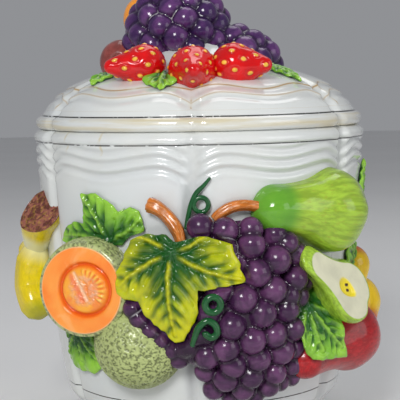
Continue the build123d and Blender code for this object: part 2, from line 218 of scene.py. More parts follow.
def flat_in(where, x, y):
    """Points of a place's own plane, in the jar's frame."""
    return laid(np.stack([x, y, np.zeros_like(x)], 1), where)


# -------------------- meshes
def deselect():
    """Nothing stays selected, so that the next step acts on its own piece only."""
    bpy.ops.object.select_all(action="DESELECT")


def points_of(piece):
    """A piece's vertices in metres."""
    co = np.zeros(len(piece.data.vertices) * 3, np.float32)
    piece.data.vertices.foreach_get("co", co)
    return co.reshape(-1, 3).astype(float)


def shape(piece, points):
    """Moves a piece's vertices to these points, given in millimetres."""
    piece.data.vertices.foreach_set("co", (points * MM).astype(np.float32).ravel())
    piece.data.update()


def note(piece, name, values):
    """Keeps a value or a vector at each vertex, for the piece's material."""
    if values.ndim == 1:
        piece.data.attributes.new(name, "FLOAT", "POINT").data.foreach_set(
            "value", values.astype(np.float32))
    else:
        piece.data.attributes.new(name, "FLOAT_VECTOR", "POINT").data.foreach_set(
            "vector", values.astype(np.float32).ravel())


def applied(piece, kind, **settings):
    """Adds a modifier with these settings and applies it."""
    deselect()
    piece.select_set(True)
    bpy.context.view_layer.objects.active = piece
    modifier = piece.modifiers.new(kind.title(), kind)
    for key, value in settings.items():
        setattr(modifier, key, value)
    bpy.ops.object.modifier_apply(modifier=modifier.name)


def ball_start(name, segments, rings):
    """A unit ball to shape, and its points: a coarse ball divided twice."""
    deselect()
    bpy.ops.mesh.primitive_uv_sphere_add(segments=segments // 4, ring_count=rings // 4, radius=1)
    piece = bpy.context.object
    piece.name = piece.data.name = name
    applied(piece, "SUBSURF", subdivision_type="SIMPLE", levels=2, render_levels=2)
    return piece, unit(points_of(piece))


def spun(name, profile, steps):
    """A closed shell from a profile of (radius, height) points in millimetres, spun about the jar's axis."""
    mesh = bpy.data.meshes.new(name)
    verts = [(r * MM, 0, z * MM) for r, z in profile]
    mesh.from_pydata(verts, [(k, k + 1) for k in range(len(verts) - 1)], [])
    piece = bpy.data.objects.new(name, mesh)
    bpy.context.scene.collection.objects.link(piece)
    applied(piece, "SCREW", steps=steps, render_steps=steps, use_merge_vertices=True, merge_threshold=0.00001)
    bpy.ops.object.mode_set(mode="EDIT")
    bpy.ops.mesh.select_all(action="SELECT")
    bpy.ops.mesh.remove_doubles(threshold=0.00001)
    bpy.ops.mesh.normals_make_consistent(inside=False)
    bpy.ops.object.mode_set(mode="OBJECT")
    return piece


def joined(name, pieces):
    """Several pieces made one object."""
    deselect()
    for piece in pieces:
        piece.select_set(True)
    bpy.context.view_layer.objects.active = pieces[0]
    bpy.ops.object.join()
    piece = bpy.context.object
    piece.name = piece.data.name = name
    return piece


def finish_piece(piece, body, material, nodes):
    """Smooth faces, the finish, and the piece's place in the frame."""
    piece.data.shade_smooth()
    piece.data.materials.clear()
    piece.data.materials.append(material)
    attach(piece, body)
    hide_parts(*nodes)


def fused(piece, voxel):
    """One skin over overlapping balls."""
    applied(piece, "REMESH", mode="VOXEL", voxel_size=voxel * MM)
    applied(piece, "SMOOTH", factor=0.5, iterations=1)
    return piece


def pressed_to_wall(points, tables):
    """Points that reach too far into the pot are brought back to just inside its wall."""
    azimuth = azimuth_of(points)
    radius = np.hypot(points[:, 0], points[:, 1])
    limit = lobed(wall_radius(points[:, 2]), azimuth, tables) - SUNK
    grow = np.maximum(1, limit / np.maximum(radius, 1))
    out = points.copy()
    out[:, :2] *= grow[:, None]
    return out


def pressed_to_dome(points, tables):
    """Points that reach too far into the lid are brought back to just under its skin."""
    radius = unlobed(np.hypot(points[:, 0], points[:, 1]), azimuth_of(points), tables)
    out = points.copy()
    out[:, 2] = np.maximum(points[:, 2], dome_height(radius) - SUNK)
    return out


def along_ball(start):
    """How far each point of a ball is from its tail to its head, 0 to 1, and its turn about that line."""
    return np.arccos(np.clip(-start[:, 2], -1, 1)) / math.pi, np.arctan2(start[:, 1], start[:, 0])


def two_faces(start):
    """A ball taken as a front and a back face: which points are in front, and their shares of the way out."""
    theta = np.arccos(np.clip(start[:, 2], -1, 1))
    front = theta <= math.pi / 2 + 1e-6
    return front, np.where(front, theta, math.pi - theta) / (math.pi / 2)


def turned_form(start, outline):
    """Points of a form turned about X, from its outline of (along, radius) points, tail first."""
    line = np.array(outline, float)
    run = np.concatenate([[0], np.cumsum(np.hypot(*np.diff(line, axis=0).T))])
    share, turn = along_ball(start)
    along = np.interp(share * run[-1], run, line[:, 0])
    radius = np.interp(share * run[-1], run, line[:, 1])
    return np.stack([along, radius * np.sin(turn), radius * np.cos(turn)], 1)


def tube(centre, ahead, turn, thick):
    """Points round a path: its middles and directions, the turn about it, and the radius there."""
    side = unit(np.cross(ahead, unit(centre * (1, 1, 0))))
    out = np.cross(side, ahead)
    return centre + (np.cos(turn)[:, None] * side + np.sin(turn)[:, None] * out) * thick[:, None]


def arc_line(centre, radius, first, last, count=24):
    """Points of an arc, from one direction to another in radians from X."""
    turn = np.linspace(first, last, count)
    return np.stack([centre[0] + radius * np.cos(turn), centre[1] + radius * np.sin(turn)], 1)


def egg_line(length, small, large):
    """Half the outline of a small and a large ball in one taut skin."""
    half = length / 2
    small_at, large_at = small - half, half - large
    lean = math.acos((small - large) / (large_at - small_at))
    return np.vstack([arc_line((small_at, 0), small, math.pi, lean), arc_line((large_at, 0), large, lean, 0)])


def pear_line(length, neck, belly, waist):
    """Half the outline of a pear: two balls joined by a hollow curve."""
    half = length / 2
    neck_at, belly_at = neck - half, half - belly
    reach, neck_side, belly_side = belly_at - neck_at, neck + waist, belly + waist
    along = (reach**2 + neck_side**2 - belly_side**2) / (2 * reach)
    hollow = (neck_at + along, math.sqrt(neck_side**2 - along**2))
    neck_turn = math.atan2(hollow[1], hollow[0] - neck_at)
    belly_turn = math.atan2(hollow[1], hollow[0] - belly_at)
    return np.vstack([
        arc_line((neck_at, 0), neck, math.pi, neck_turn),
        arc_line(hollow, waist, neck_turn + math.pi, belly_turn + math.pi),
        arc_line((belly_at, 0), belly, belly_turn, 0),
    ])


def bend_through(start, middle, end):
    """The arc through three points, as a function of 0 to 1 that gives points and directions."""
    a, b, c = (np.asarray(p, float) for p in (start, middle, end))
    ab, ac = b - a, c - a
    normal = np.cross(ab, ac)
    centre = a + (np.cross(normal, ab) * (ac @ ac) + np.cross(ac, normal) * (ab @ ab)) / (2 * normal @ normal)
    radius = np.linalg.norm(a - centre)
    x = (a - centre) / radius
    y = np.cross(unit(normal), x)
    full = math.atan2((c - centre) @ y, (c - centre) @ x) % (2 * math.pi)

    def follow(share):
        turn = np.asarray(share)[..., None] * full
        points = centre + radius * (np.cos(turn) * x + np.sin(turn) * y)
        return points, -np.sin(turn) * x + np.cos(turn) * y
    return follow


def noise_at(points, scale, octaves=3):
    """Soft cloud noise at points, about -1 to 1."""
    return np.array([noise.fractal(Vector(p), 1.0, 2.0, octaves) for p in points * scale])


def nearest_cell(points, scale):
    """Distance from each point to the nearest middle of scattered cells."""
    return np.array([noise.voronoi(Vector(p))[0][0] for p in points * scale])


def nearest_stroke(x, y, strokes):
    """Distance from each point to the nearest of some bent strokes, and how far along it that is."""
    best, along = np.full(x.shape, 1e9), np.zeros(x.shape)
    for stroke in strokes:
        for k, ((x0, y0), (x1, y1)) in enumerate(zip(stroke, stroke[1:])):
            dx, dy = x1 - x0, y1 - y0
            t = np.clip(((x - x0) * dx + (y - y0) * dy) / (dx * dx + dy * dy), 0, 1)
            off = np.hypot(x - x0 - t * dx, y - y0 - t * dy)
            closer = off < best
            best = np.where(closer, off, best)
            along = np.where(closer, (k + t) / (len(stroke) - 1), along)
    return best, along


# -------------------- finishes
class Finish:
    """A glaze built up from nodes."""

    def __init__(self, name, roughness=0.14, coat=0.3, coat_roughness=0.05, specular=0.3):
        self.material = bpy.data.materials.new(name)
        self.material.use_nodes = True
        self.nodes = self.material.node_tree.nodes
        self.links = self.material.node_tree.links
        self.shader = self.nodes["Principled BSDF"]
        self.shader.inputs["Roughness"].default_value = roughness
        self.shader.inputs["Coat Weight"].default_value = coat
        self.shader.inputs["Coat Roughness"].default_value = coat_roughness
        self.shader.inputs["Specular IOR Level"].default_value = specular
        self.object = self.nodes.new("ShaderNodeTexCoord").outputs["Object"]

    def join(self, value, socket):
        """Links a socket's value, or sets a plain one."""
        if isinstance(value, bpy.types.NodeSocket):
            self.links.new(value, socket)
        elif socket.type == "RGBA":
            socket.default_value = (*value, 1)
        else:
            socket.default_value = value

    def math(self, operation, a, b=0.0):
        """One step of arithmetic on two values."""
        node = self.nodes.new("ShaderNodeMath")
        node.operation = operation
        self.join(a, node.inputs[0])
        self.join(b, node.inputs[1])
        return node.outputs[0]

    def times(self, a, b):
        """The product of two values."""
        return self.math("MULTIPLY", a, b)

    def kept(self, name, vector=False):
        """A value or vector kept on the mesh."""
        node = self.nodes.new("ShaderNodeAttribute")
        node.attribute_name = name
        return node.outputs["Vector" if vector else "Fac"]

    def stretched(self, vector, scale):
        """A vector scaled along each axis."""
        node = self.nodes.new("ShaderNodeMapping")
        self.join(vector, node.inputs["Vector"])
        node.inputs["Scale"].default_value = scale
        return node.outputs["Vector"]

    def height(self):
        """Height above the floor in metres."""
        node = self.nodes.new("ShaderNodeSeparateXYZ")
        self.join(self.object, node.inputs[0])
        return node.outputs["Z"]

    def cloud(self, scale, detail=3.0, vector=None, distortion=0.0):
        """Cloud noise, about 0.3 to 0.7."""
        node = self.nodes.new("ShaderNodeTexNoise")
        self.join(self.object if vector is None else vector, node.inputs["Vector"])
        node.inputs["Scale"].default_value = scale
        node.inputs["Detail"].default_value = detail
        node.inputs["Roughness"].default_value = 0.55
        node.inputs["Distortion"].default_value = distortion
        return node.outputs["Fac"]

    def ranged(self, value, from_low, from_high, to_low, to_high, kind="LINEAR"):
        """A value carried from one range to another."""
        node = self.nodes.new("ShaderNodeMapRange")
        node.interpolation_type = kind
        self.join(value, node.inputs["Value"])
        ends = {"From Min": from_low, "From Max": from_high, "To Min": to_low, "To Max": to_high}
        for socket, end in ends.items():
            node.inputs[socket].default_value = end
        return node.outputs["Result"]

    def step(self, value, low, high):
        """0 to 1 as the value goes from low to high, or the other way round."""
        if low > high:
            return self.ranged(value, high, low, 1.0, 0.0, "SMOOTHSTEP")
        return self.ranged(value, low, high, 0.0, 1.0, "SMOOTHSTEP")

    def patches(self, scale, low, high, detail=3, distortion=0.0):
        """Soft-edged patches of cloud noise: 0 outside, 1 inside."""
        return self.step(self.cloud(scale, detail, distortion=distortion), low, high)

    def line(self, value, centre, width, soft=0.5):
        """1 where the value is within width of centre."""
        off = self.math("ABSOLUTE", self.math("SUBTRACT", value, centre))
        return self.step(off, width * (1 + soft), width * (1 - soft))

    def mix(self, factor, a, b):
        """The colour a where the factor is 0, and b where it is 1."""
        node = self.nodes.new("ShaderNodeMix")
        node.data_type = "RGBA"
        self.join(factor, node.inputs["Factor"])
        self.join(a, node.inputs[6])
        self.join(b, node.inputs[7])
        return node.outputs[2]

    def over(self, base, colour, where, strength):
        """The base with a colour laid over it, in full strength where the factor is 1."""
        return self.mix(self.times(where, strength), base, colour)

    def uneven(self, low=0.08, high=0.24, scale=60.0):
        """A gloss that varies a little over the surface."""
        return self.ranged(self.cloud(scale, 2), 0.3, 0.7, low, high)

    def done(self, colour, roughness=None, bump=None, bump_depth=0.0002, bump_strength=0.4):
        """The finished material, with a fine bump in metres of depth."""
        self.join(colour, self.shader.inputs["Base Color"])
        if roughness is not None:
            self.join(roughness, self.shader.inputs["Roughness"])
        if bump is not None:
            node = self.nodes.new("ShaderNodeBump")
            node.inputs["Strength"].default_value = bump_strength
            node.inputs["Distance"].default_value = bump_depth
            self.join(bump, node.inputs["Height"])
            self.links.new(node.outputs["Normal"], self.shader.inputs["Normal"])
        return self.material


def shade_of(colour, factor):
    """A colour made lighter or darker."""
    return tuple(min(1.0, c * factor) for c in colour)


def white_glaze(f, look):
    """White glaze, a little cooler in patches, and where it is faintly worn."""
    base = f.mix(f.patches(14, 0.35, 0.7, 2), look.white, look.white_cool)
    return base, f.patches(55, 0.5, 0.72, 4, 0.6)


def lined(f, base, look, wear, drawn_lines):
    """The fine dark lines round the jar, the shade in its hollows and the wear over all."""
    wobble = f.times(f.math("SUBTRACT", f.cloud(30, 2), 0.5), LINE_WOBBLE * MM)
    level = f.math("ADD", f.height(), wobble)
    for height, half_width in drawn_lines:
        drawn = f.line(level, height * MM, half_width * MM, 0.4)
        base = f.mix(f.times(drawn, f.patches(150, 0.34, 0.42)), base, look.dark_line)
    # painted shade: grey laid into the waves' cuts and the grooves between the lobes
    base = f.over(base, look.hollow, f.kept("hollow"), 0.45)
    base = f.over(base, look.patina, wear, 0.05)
    return f.done(base, f.uneven(0.1, 0.2, 25), f.cloud(90, 2), 0.0004, 0.25)


def pot_glaze(look):
    """The pot's glaze: white, two short stains on the rim, and a line at the rim and at the foot."""
    f = Finish("White Pot Glaze", roughness=0.12, coat=0.5, coat_roughness=0.03, specular=0.5)
    base, wear = white_glaze(f, look)
    tick = f.times(f.line(f.kept("tick"), 0.0, 0.7, 0.8), f.patches(120, 0.35, 0.6, 2))
    base = f.over(base, look.patina, tick, 0.6)
    drawn_lines = ((RIM_LINE_HEIGHT, LINE_HALF_WIDTH), (FOOT_LINE_HEIGHT, FOOT_LINE_HALF_WIDTH))
    return lined(f, base, look, wear, drawn_lines)


def lid_glaze(look):
    """The lid's glaze: white, tea-coloured veins over the dome, and a worn band at its edge."""
    f = Finish("White Lid Glaze", roughness=0.12, coat=0.5, coat_roughness=0.03, specular=0.5)
    base, wear = white_glaze(f, look)
    band = f.step(f.height(), (LID_LINE_HEIGHT - 0.2) * MM, (LID_LINE_HEIGHT - 1) * MM)
    streaks = f.cloud(1, 3, vector=f.stretched(f.object, (18, 18, 260)), distortion=0.4)
    base = f.over(base, look.patina, f.times(band, f.step(streaks, 0.34, 0.72)), 0.75)
    for kept, strength in (("vein_low", 0.5), ("vein_high", 0.95), ("crackle", 0.9)):
        thin = f.line(f.kept(kept), 0.0, 0.36, 0.6)
        halo = f.line(f.kept(kept), 0.0, 1.0, 0.9)
        base = f.over(base, look.patina, halo, 0.28 * strength)
        base = f.over(base, look.vein, f.times(thin, f.patches(40, 0.36, 0.5)), strength)
    return lined(f, base, look, wear, [(LID_LINE_HEIGHT, LINE_HALF_WIDTH)])


def grape_glaze(name, colour, bloom, bare_and_highlight_colour, bare_and_highlight):
    """Plum glaze, paler and pinker where it is thin, with painted shade in the creases and a few white lines
    there, partly white glaze showing through and partly painted highlight.
    """
    f = Finish(name, roughness=0.26, coat=0.3, coat_roughness=0.14)
    base = f.mix(f.patches(70, 0.38, 0.68, 4, 0.8), shade_of(colour, 0.72), bloom)
    brush = f.cloud(1, 3, vector=f.stretched(f.object, (160, 160, 420)), distortion=1.2)
    base = f.over(base, shade_of(bloom, 1.5), f.step(brush, 0.56, 0.8), 0.3)
    crease = f.kept("crease")
    # painted shade in the creases between the grapes
    base = f.over(base, shade_of(colour, 0.28), f.step(crease, 0.15, 0.95), 0.85)
    # white lines in the deepest creases: partly white glaze showing through, partly painted highlight
    lines = f.times(f.step(crease, 0.93, 0.99), f.patches(38, 0.58, 0.63, 2))
    base = f.over(base, bare_and_highlight_colour, lines, bare_and_highlight)
    return f.done(base, f.uneven(0.1, 0.26, 90), f.cloud(130, 3), 0.0005, 0.35)


def leaf_glaze(name, light, mid, dark):
    """Leaf glaze: light between the veins, brushed dark along them and at the foot of the leaf, and dark on
    the underside as painted shade.
    """
    f = Finish(name, roughness=0.15)
    base = f.over(light, mid, f.patches(85, 0.42, 0.7, 4, 0.6), 0.45)
    strokes = f.cloud(1, 3, vector=f.stretched(f.kept("own", True), (3, 1.1, 3)), distortion=0.5)
    base = f.over(base, mid, f.step(strokes, 0.52, 0.75), 0.35)
    base = f.over(base, mid, f.kept("shaded"), 0.9)
    base = f.over(base, dark, f.kept("groove"), 0.92)
    # dark at the foot of the leaf, and over its underside as painted shade
    base = f.mix(f.kept("foot"), base, dark)
    base = f.over(base, light, f.kept("rib"), 0.7)
    return f.done(base, f.uneven(0.1, 0.24, 90), f.cloud(220, 2), 0.0003, 0.3)


def streaked_glaze(name, colour, light, dark, accent, stretch, accent_amount):
    """Glaze brushed along a fruit, between a light and a dark shade of its colour, with an accent."""
    f = Finish(name, roughness=0.14)
    own = f.kept("own", True)
    brush = f.cloud(1.6, 4, vector=f.stretched(own, stretch), distortion=0.25)
    base = f.mix(f.step(brush, 0.35, 0.65), shade_of(colour, dark), shade_of(colour, light))
    fine = f.cloud(4.5, 3, vector=f.stretched(own, stretch), distortion=0.1)
    base = f.over(base, accent, f.step(fine, 0.52, 0.72), accent_amount)
    base = f.mix(f.kept("blush"), base, f.mix(f.patches(60, 0.35, 0.65), shade_of(accent, 0.8), accent))
    return f, base


# -------------------- settings
def length(name, default, description):
    """A setting in metres."""
    return bpy.props.FloatProperty(name=name, default=default, unit="LENGTH", description=description)


def angle(name, degrees, description):
    """A setting given in degrees and kept in radians."""
    return bpy.props.FloatProperty(
        name=name, default=math.radians(degrees), subtype="ANGLE", description=description)


def power(name, default, description):
    """A setting in watts."""
    return bpy.props.FloatProperty(
        name=name, default=default, min=0, subtype="POWER", description=description)


def colour(name, default, description):
    """A colour that can be set."""
    return bpy.props.FloatVectorProperty(
        name=name, default=default, size=3, min=0, max=1, subtype="COLOR", description=description)


class JarForm(bpy.types.PropertyGroup):
    """Sizes that shape the pot, the lid and the fruit."""
    groove_depth: length("Groove Depth", 3.2 * MM, "How far a groove between two lobes is cut in")
    groove_half_angle: angle("Groove Half Angle", 3.2, "Half the angle that a groove takes up round the jar")
    wave_depth: length("Wave Depth", 1.15 * MM, "Depth of the moulded waves under the rim")
    wave_width: length("Wave Width", 1.7 * MM, "Half-width of the line between two waves")
    leaf_thickness: length("Leaf Thickness", 3.4 * MM, "Thickness of a pressed leaf")
    lid_grape_radius: length("Lid Grape Radius", 7.8 * MM, "Radius of a grape on the lid")
    voxel: length("Grape Skin Step", 0.75 * MM, "Grid of the skin that joins the grapes")


class JarLook(bpy.types.PropertyGroup):
    """Glaze colours."""
    white: colour("White", (0.70, 0.715, 0.69), "The pot's glaze")
    white_cool: colour("Cool White", (0.64, 0.665, 0.665), "Where the pot's glaze is thick")
    # painted shade for the waves' cuts and the grooves between the lobes
    hollow: colour("Hollow Shade", (0.42, 0.43, 0.43), "Where the glaze pools in a hollow")
    patina: colour("Patina", (0.60, 0.50, 0.27), "Wear on the lid's band")
    vein: colour("Vein", (0.42, 0.26, 0.10), "Tea-coloured veins in the lid's glaze")
    dark_line: colour("Dark Line", (0.028, 0.026, 0.024), "Fine lines round the jar")
    seal: colour("Seal", (0.50, 0.49, 0.45), "The soft seal on the flange")
    seal_dust: colour("Seal Dust", (0.62, 0.61, 0.57), "Dusty patches on the seal")
    grape: colour("Plum", (0.062, 0.019, 0.070), "The big bunch")
    grape_bloom: colour("Plum Bloom", (0.130, 0.044, 0.125), "Thin glaze on the big bunch")
    lid_grape: colour("Blue Plum", (0.050, 0.016, 0.100), "The lid's bunch")
    lid_bloom: colour("Blue Plum Bloom", (0.125, 0.042, 0.165), "Thin glaze on the lid's bunch")
    # white glaze showing through in the creases, partly painted highlight
    bare_line_and_highlight: colour("Bare Line", (0.75, 0.72, 0.74), "Bare glaze in the creases of both bunches")
    leaf_light: colour("Leaf", (0.31, 0.60, 0.055), "Green leaves")
    leaf_mid: colour("Leaf Middle", (0.11, 0.35, 0.02), "Green leaves, shaded")
    leaf_dark: colour("Leaf Veins", (0.010, 0.088, 0.012), "Veins of green leaves")
    vine_light: colour("Vine Leaf", (0.66, 0.64, 0.006), "The yellow vine leaf")
    vine_mid: colour("Vine Leaf Middle", (0.28, 0.44, 0.012), "The vine leaf, shaded")
    bark: colour("Stalk", (0.55, 0.155, 0.018), "The two cut stalks")
    bark_pale: colour("Stalk Streaks", (0.72, 0.42, 0.20), "Pale streaks on the stalks")
    tendril: colour("Tendril", (0.008, 0.065, 0.018), "Curling tendrils")
    tendril_pale: colour("Tendril Streaks", (0.03, 0.20, 0.06), "Pale streaks on the tendrils")
    flesh: colour("Melon Flesh", (0.93, 0.21, 0.018), "The half melon's flesh")
    flesh_light: colour("Melon Flesh, Light", (0.95, 0.33, 0.05), "Paler patches of the flesh")
    flesh_dabs: colour("Melon Flesh Dabs", (0.95, 0.45, 0.16), "Dabs of yellow on the flesh")
    flesh_lip: colour("Melon Lip", (0.92, 0.66, 0.40), "Cream line inside the rind")
    # painted shade in the groove round the seed mass
    flesh_groove_shade: colour("Melon Groove", (0.72, 0.085, 0.004), "The groove round the seed mass")
    mass: colour("Seed Mass", (0.92, 0.38, 0.03), "The seed mass")
    mass_deep: colour("Seed Mass, Deep", (0.88, 0.24, 0.04), "Deeper patches of the seed mass")
    # painted shade between the raised teeth
    mass_gap_shade: colour("Seed Gap", (0.80, 0.15, 0.008), "Between the teeth of the seed mass")
    mass_tooth: colour("Seed Tooth", (0.95, 0.52, 0.07), "Teeth round the seed mass")
    mass_pale: colour("Seed Mass Middle", (0.80, 0.44, 0.28), "Wrinkled middle of the seed mass")
    mass_wedge: colour("Seed Wedge", (0.85, 0.16, 0.08), "Salmon wedge beside the slit")
    mass_slit: colour("Seed Slit", (0.88, 0.62, 0.40), "Pale slit across the seed mass")
    rind: colour("Melon Rind", (0.40, 0.46, 0.18), "Netted rind")
    rind_rim: colour("Rind Rim", (0.78, 0.72, 0.5), "Wear on the cut melon's rind")
    banana: colour("Banana", (0.82, 0.62, 0.008), "Banana skin")
    banana_green: colour("Banana Tip", (0.42, 0.44, 0.03), "Green tips and streaks of the bananas")
    banana_pale: colour("Banana Neck", (0.80, 0.76, 0.40), "Pale necks of the bananas")
    scar_dark: colour("Scar, Dark", (0.10, 0.022, 0.016), "The stalk's cut face")
    scar_light: colour("Scar, Light", (0.30, 0.10, 0.07), "Fibres in the stalk's cut face")
    pear: colour("Green Pear", (0.30, 0.46, 0.040), "Green pear and cut pear's skin")
    pear_streak: colour("Green Pear Streaks", (0.34, 0.36, 0.04), "Olive streaks on the green pear")
    pear_neck: colour("Green Pear Neck", (0.10, 0.34, 0.025), "Neck of the green pear")
    skin_streak: colour("Cut Pear Streaks", (0.10, 0.28, 0.03), "Streaks on the cut pear's skin")
    pear_flesh: colour("Pear Flesh", (0.78, 0.76, 0.56), "Cut face of the pear")
    pear_core: colour("Pear Core", (0.86, 0.70, 0.03), "Core of the cut pear")
    pip: colour("Pip", (0.06, 0.025, 0.01), "Pips of the cut pear")
    pear_red: colour("Red Pear", (0.40, 0.012, 0.016), "Red pear")
    pear_red_pale: colour("Red Pear Streaks", (0.62, 0.10, 0.08), "Pale streaks on the red pear")
    peach: colour("Peach", (0.90, 0.60, 0.012), "The two small fruits at the right")
    peach_blush: colour("Peach Blush", (0.62, 0.05, 0.02), "Red tips of the small fruits")
    strawberry: colour("Strawberry", (0.55, 0.003, 0.004), "Strawberries on the lid")
    seed: colour("Strawberry Seed", (0.90, 0.52, 0.06), "Seeds of the strawberries")
    apple: colour("Apple", (0.24, 0.052, 0.044), "The apple on the lid")
    apple_eye: colour("Apple Eye", (0.06, 0.03, 0.02), "The apple's eye")
    citrus: colour("Orange", (0.86, 0.27, 0.015), "The orange on the lid")


class JarStage(bpy.types.PropertyGroup):
    """Floor, lamps and camera."""
    floor: colour("Floor", (0.80, 0.80, 0.80), "Floor colour")
    air: colour("Air", (0.93, 0.95, 1.0), "Colour of the even light")
    world: bpy.props.FloatProperty(
        name="World Strength", default=0.30, min=0, description="Even light all round")
    key: power("Key Power", 10.4, "Main lamp")
    fill: power("Fill Power", 4.0, "Side lamp and top lamp")
    camera_distance: length("Camera Distance", 0.740, "From the jar's axis to the camera")
    camera_height: length("Camera Height", 0.2075, "Height of the camera above the floor")
    camera_turn: angle("Camera Turn", 2.6, "Camera's azimuth")
    camera_pitch: angle("Camera Pitch", 5.66, "How far it looks down")
    camera_roll: angle("Camera Roll", -1.07, "Turn about its own axis")
    camera_lens: bpy.props.FloatProperty(
        name="Lens", default=108.9, description="Focal length in millimetres")


def settings(context):
    """The jar's sizes and its colours."""
    return context.scene.jar_form, context.scene.jar_look


def tables_of(form):
    """The lobes' tables for these settings."""
    return lobe_tables(form.groove_depth / MM, math.degrees(form.groove_half_angle))


# -------------------- pot and lid
POT_WAVES = (169.0, 163.0, 156.5)  # mid-lobe heights of the three lines
POT_WAVE_RISE = 3.6
POT_WAVE_FALLS = (7.6, 8.6, 8.2)
LID_WAVES = (196.3, 201.3)
LID_WAVE_RISE = 2.4
LID_WAVE_FALLS = (6.0, 5.0)
LID_WAVE_DEPTH = 1.15  # of the pot's
WAVE_LIP = 0.35  # height of the swelling on both sides of a wave's line, of the line's depth
WAVE_LIP_OFF = 3.1  # from the line's middle to the swelling's
WAVE_LIP_WIDTH = 1.7
BEAD_HEIGHT = 175.0  # the waves stop at the rim's bead
BAND_EDGES = (179.5, 180.5, 187.4, 188.2)  # the band fades in and out between these heights
BAND_FILL = 0.45  # share of a groove that is filled on the band
RIM_TICKS = (-46.3, -30.2)  # azimuths of two short stains on the rim
LID_CRACKS = (-64.5, 64.5)  # azimuths of two slanting veins, each just past a groove
VEIN_HEIGHTS = (198.6, 202.4)
VEIN_HIGH_SWING = (2.4, 2.6)  # rise and fall of the upper vein
OUT_OF_SIGHT = 50.0  # distance given where no vein must be drawn
TICK_GONE = 9.0  # and where no stain must be


def swapped(line):
    """(radius, height) points from (height, radius) ones."""
    return [(r, z) for z, r in line]


def pot_profile():
    """From the middle of the cavity's floor, up the inside, over the rim and down to the foot's recess."""
    floor = [(0, FLOOR_HEIGHT), (30, FLOOR_HEIGHT), (50, FLOOR_HEIGHT + 0.3), (58, FLOOR_HEIGHT + 1)]
    cavity = swapped(curve_through(CAVITY_LINE, 6))
    mouth = [(MOUTH_RADIUS, z) for z in (158, 164, 170, 175, 178.3)]
    lip = [(MOUTH_RADIUS + 0.4, 179.5), (MOUTH_RADIUS + 1.6, JOINT_HEIGHT), (93.5, JOINT_HEIGHT)]
    bead = swapped(curve_through(RIM_BEAD, 5)[::-1])
    crease = [(98.3, RIM_LINE_HEIGHT)]
    below = swapped(curve_through(RIM_LINE, 4)[::-1])
    heights = [*np.arange(167.4, 146, -0.55), *np.arange(144, 27, -3.2), *np.arange(26, 4, -1.1)]
    wall = [(float(wall_radius(z)), z) for z in heights]
    foot = [(FOOT_RADIUS + 0.6, 4.2), (FOOT_RADIUS, 3.4), (FOOT_RADIUS, 1.2), (FOOT_RADIUS - 0.5, 0.3)]
    inner = FOOT_RADIUS - FOOT_WIDTH
    ring = [(FOOT_RADIUS - 1.4, 0), (inner + 1.4, 0), (inner + 0.4, 0.5)]
    recess = [(inner, FOOT_RECESS - 0.4), (inner - 0.6, FOOT_RECESS), (30, FOOT_RECESS), (0, FOOT_RECESS)]
    return floor + cavity + mouth + lip + bead + crease + below + wall + foot + ring + recess


def lid_profile():
    """From the crown's middle down the dome and the band, round the flange and up the cavity."""
    crown = [(0, 232), (12, 232)] + swapped(curve_through([DOME_LINE[-1], *CROWN_LINE], 4)[::-1])
    dome = [(float(np.interp(z, *DOME_CURVE.T)), z) for z in np.arange(211.4, 189, -0.55)]
    foot = [(94.6, 188.5), (94.2, LID_LINE_HEIGHT), (95.2, 187.8)]
    band = swapped(curve_through(BAND_LINE, 5)[::-1])
    under = [(92, JOINT_HEIGHT), (FLANGE_RADIUS + 0.6, JOINT_HEIGHT), (FLANGE_RADIUS, JOINT_HEIGHT - 0.6)]
    flange = [(FLANGE_RADIUS, 174), (FLANGE_RADIUS, FLANGE_LOW + 1), (FLANGE_RADIUS - 1, FLANGE_LOW)]
    inner = FLANGE_RADIUS - FLANGE_WALL
    flange += [(inner + 1, FLANGE_LOW), (inner, FLANGE_LOW + 1), (inner, 176), (inner, 181.4), (80.6, 182.4)]
    cavity = swapped(curve_through(LID_CAVITY, 5))
    return crown + dome + foot + band + under + flange + cavity + [(20, 211), (0, 211)]


def waved(piece, lines, rise, falls, depth, form, outside):
    """Lobes the spun shell and cuts the moulded waves into its outside."""
    points = points_of(piece) / MM
    azimuth, radius, height = azimuth_of(points), np.hypot(points[:, 0], points[:, 1]), points[:, 2]
    outer = outside(radius, height)
    into = np.zeros(len(points))
    for line, fall in zip(lines, falls):
        off = height - line - wave_rise(azimuth, rise, fall)
        lips = bell(off - WAVE_LIP_OFF, WAVE_LIP_WIDTH) + bell(off + WAVE_LIP_OFF, WAVE_LIP_WIDTH)
        into += (bell(off, form.wave_width / MM) - WAVE_LIP * lips) * depth
    into *= outer * smooth_step(from_groove(azimuth), 0.2, 3.2)
    tables = tables_of(form)
    low, low_end, high, high_end = BAND_EDGES
    band = smooth_step(height, low, low_end) * smooth_step(-height, -high_end, -high)
    filled = band * BAND_FILL * lobe_at(azimuth, tables)[1] * (radius > MOUTH_RADIUS)
    cut = into * (1 - bell(height - BEAD_HEIGHT, 1.4))
    shape(piece, at(azimuth, lobed(radius, azimuth, tables) + filled - cut, height))
    # the hollow note marks painted shade in the waves' cuts and in the grooves
    groove = bell(from_groove(azimuth), 1.6) * outer * 0.5
    note(piece, "hollow", np.clip(0.45 * np.clip(into, 0, 1) + groove, 0, 1))
    return azimuth, height, outer


class JAR_OT_pot(bpy.types.Operator):
    """Build the glazed pot: spun, lobed, with three moulded waves under the rim"""
    bl_idname = "jar.pot"
    bl_label = "Pot"

    def execute(self, context):
        form, look = settings(context)
        piece = spun("pot", pot_profile(), 360)

        def outside(radius, height):
            return (radius > wall_radius(height) - 3).astype(float)
        azimuth, height, outer = waved(
            piece, POT_WAVES, POT_WAVE_RISE, POT_WAVE_FALLS, form.wave_depth / MM, form, outside)
        lean = 0.25 * np.sin(height)
        ticks = np.minimum.reduce([np.abs(azimuth - tick - lean) for tick in RIM_TICKS]) * 1.6
        below = height < RIM_LINE_HEIGHT - 6
        note(piece, "tick", ticks + TICK_GONE * below + TICK_GONE * (outer < 0.5))
        finish_piece(piece, "jar", pot_glaze(look), ["jar_body"])
        return {"FINISHED"}


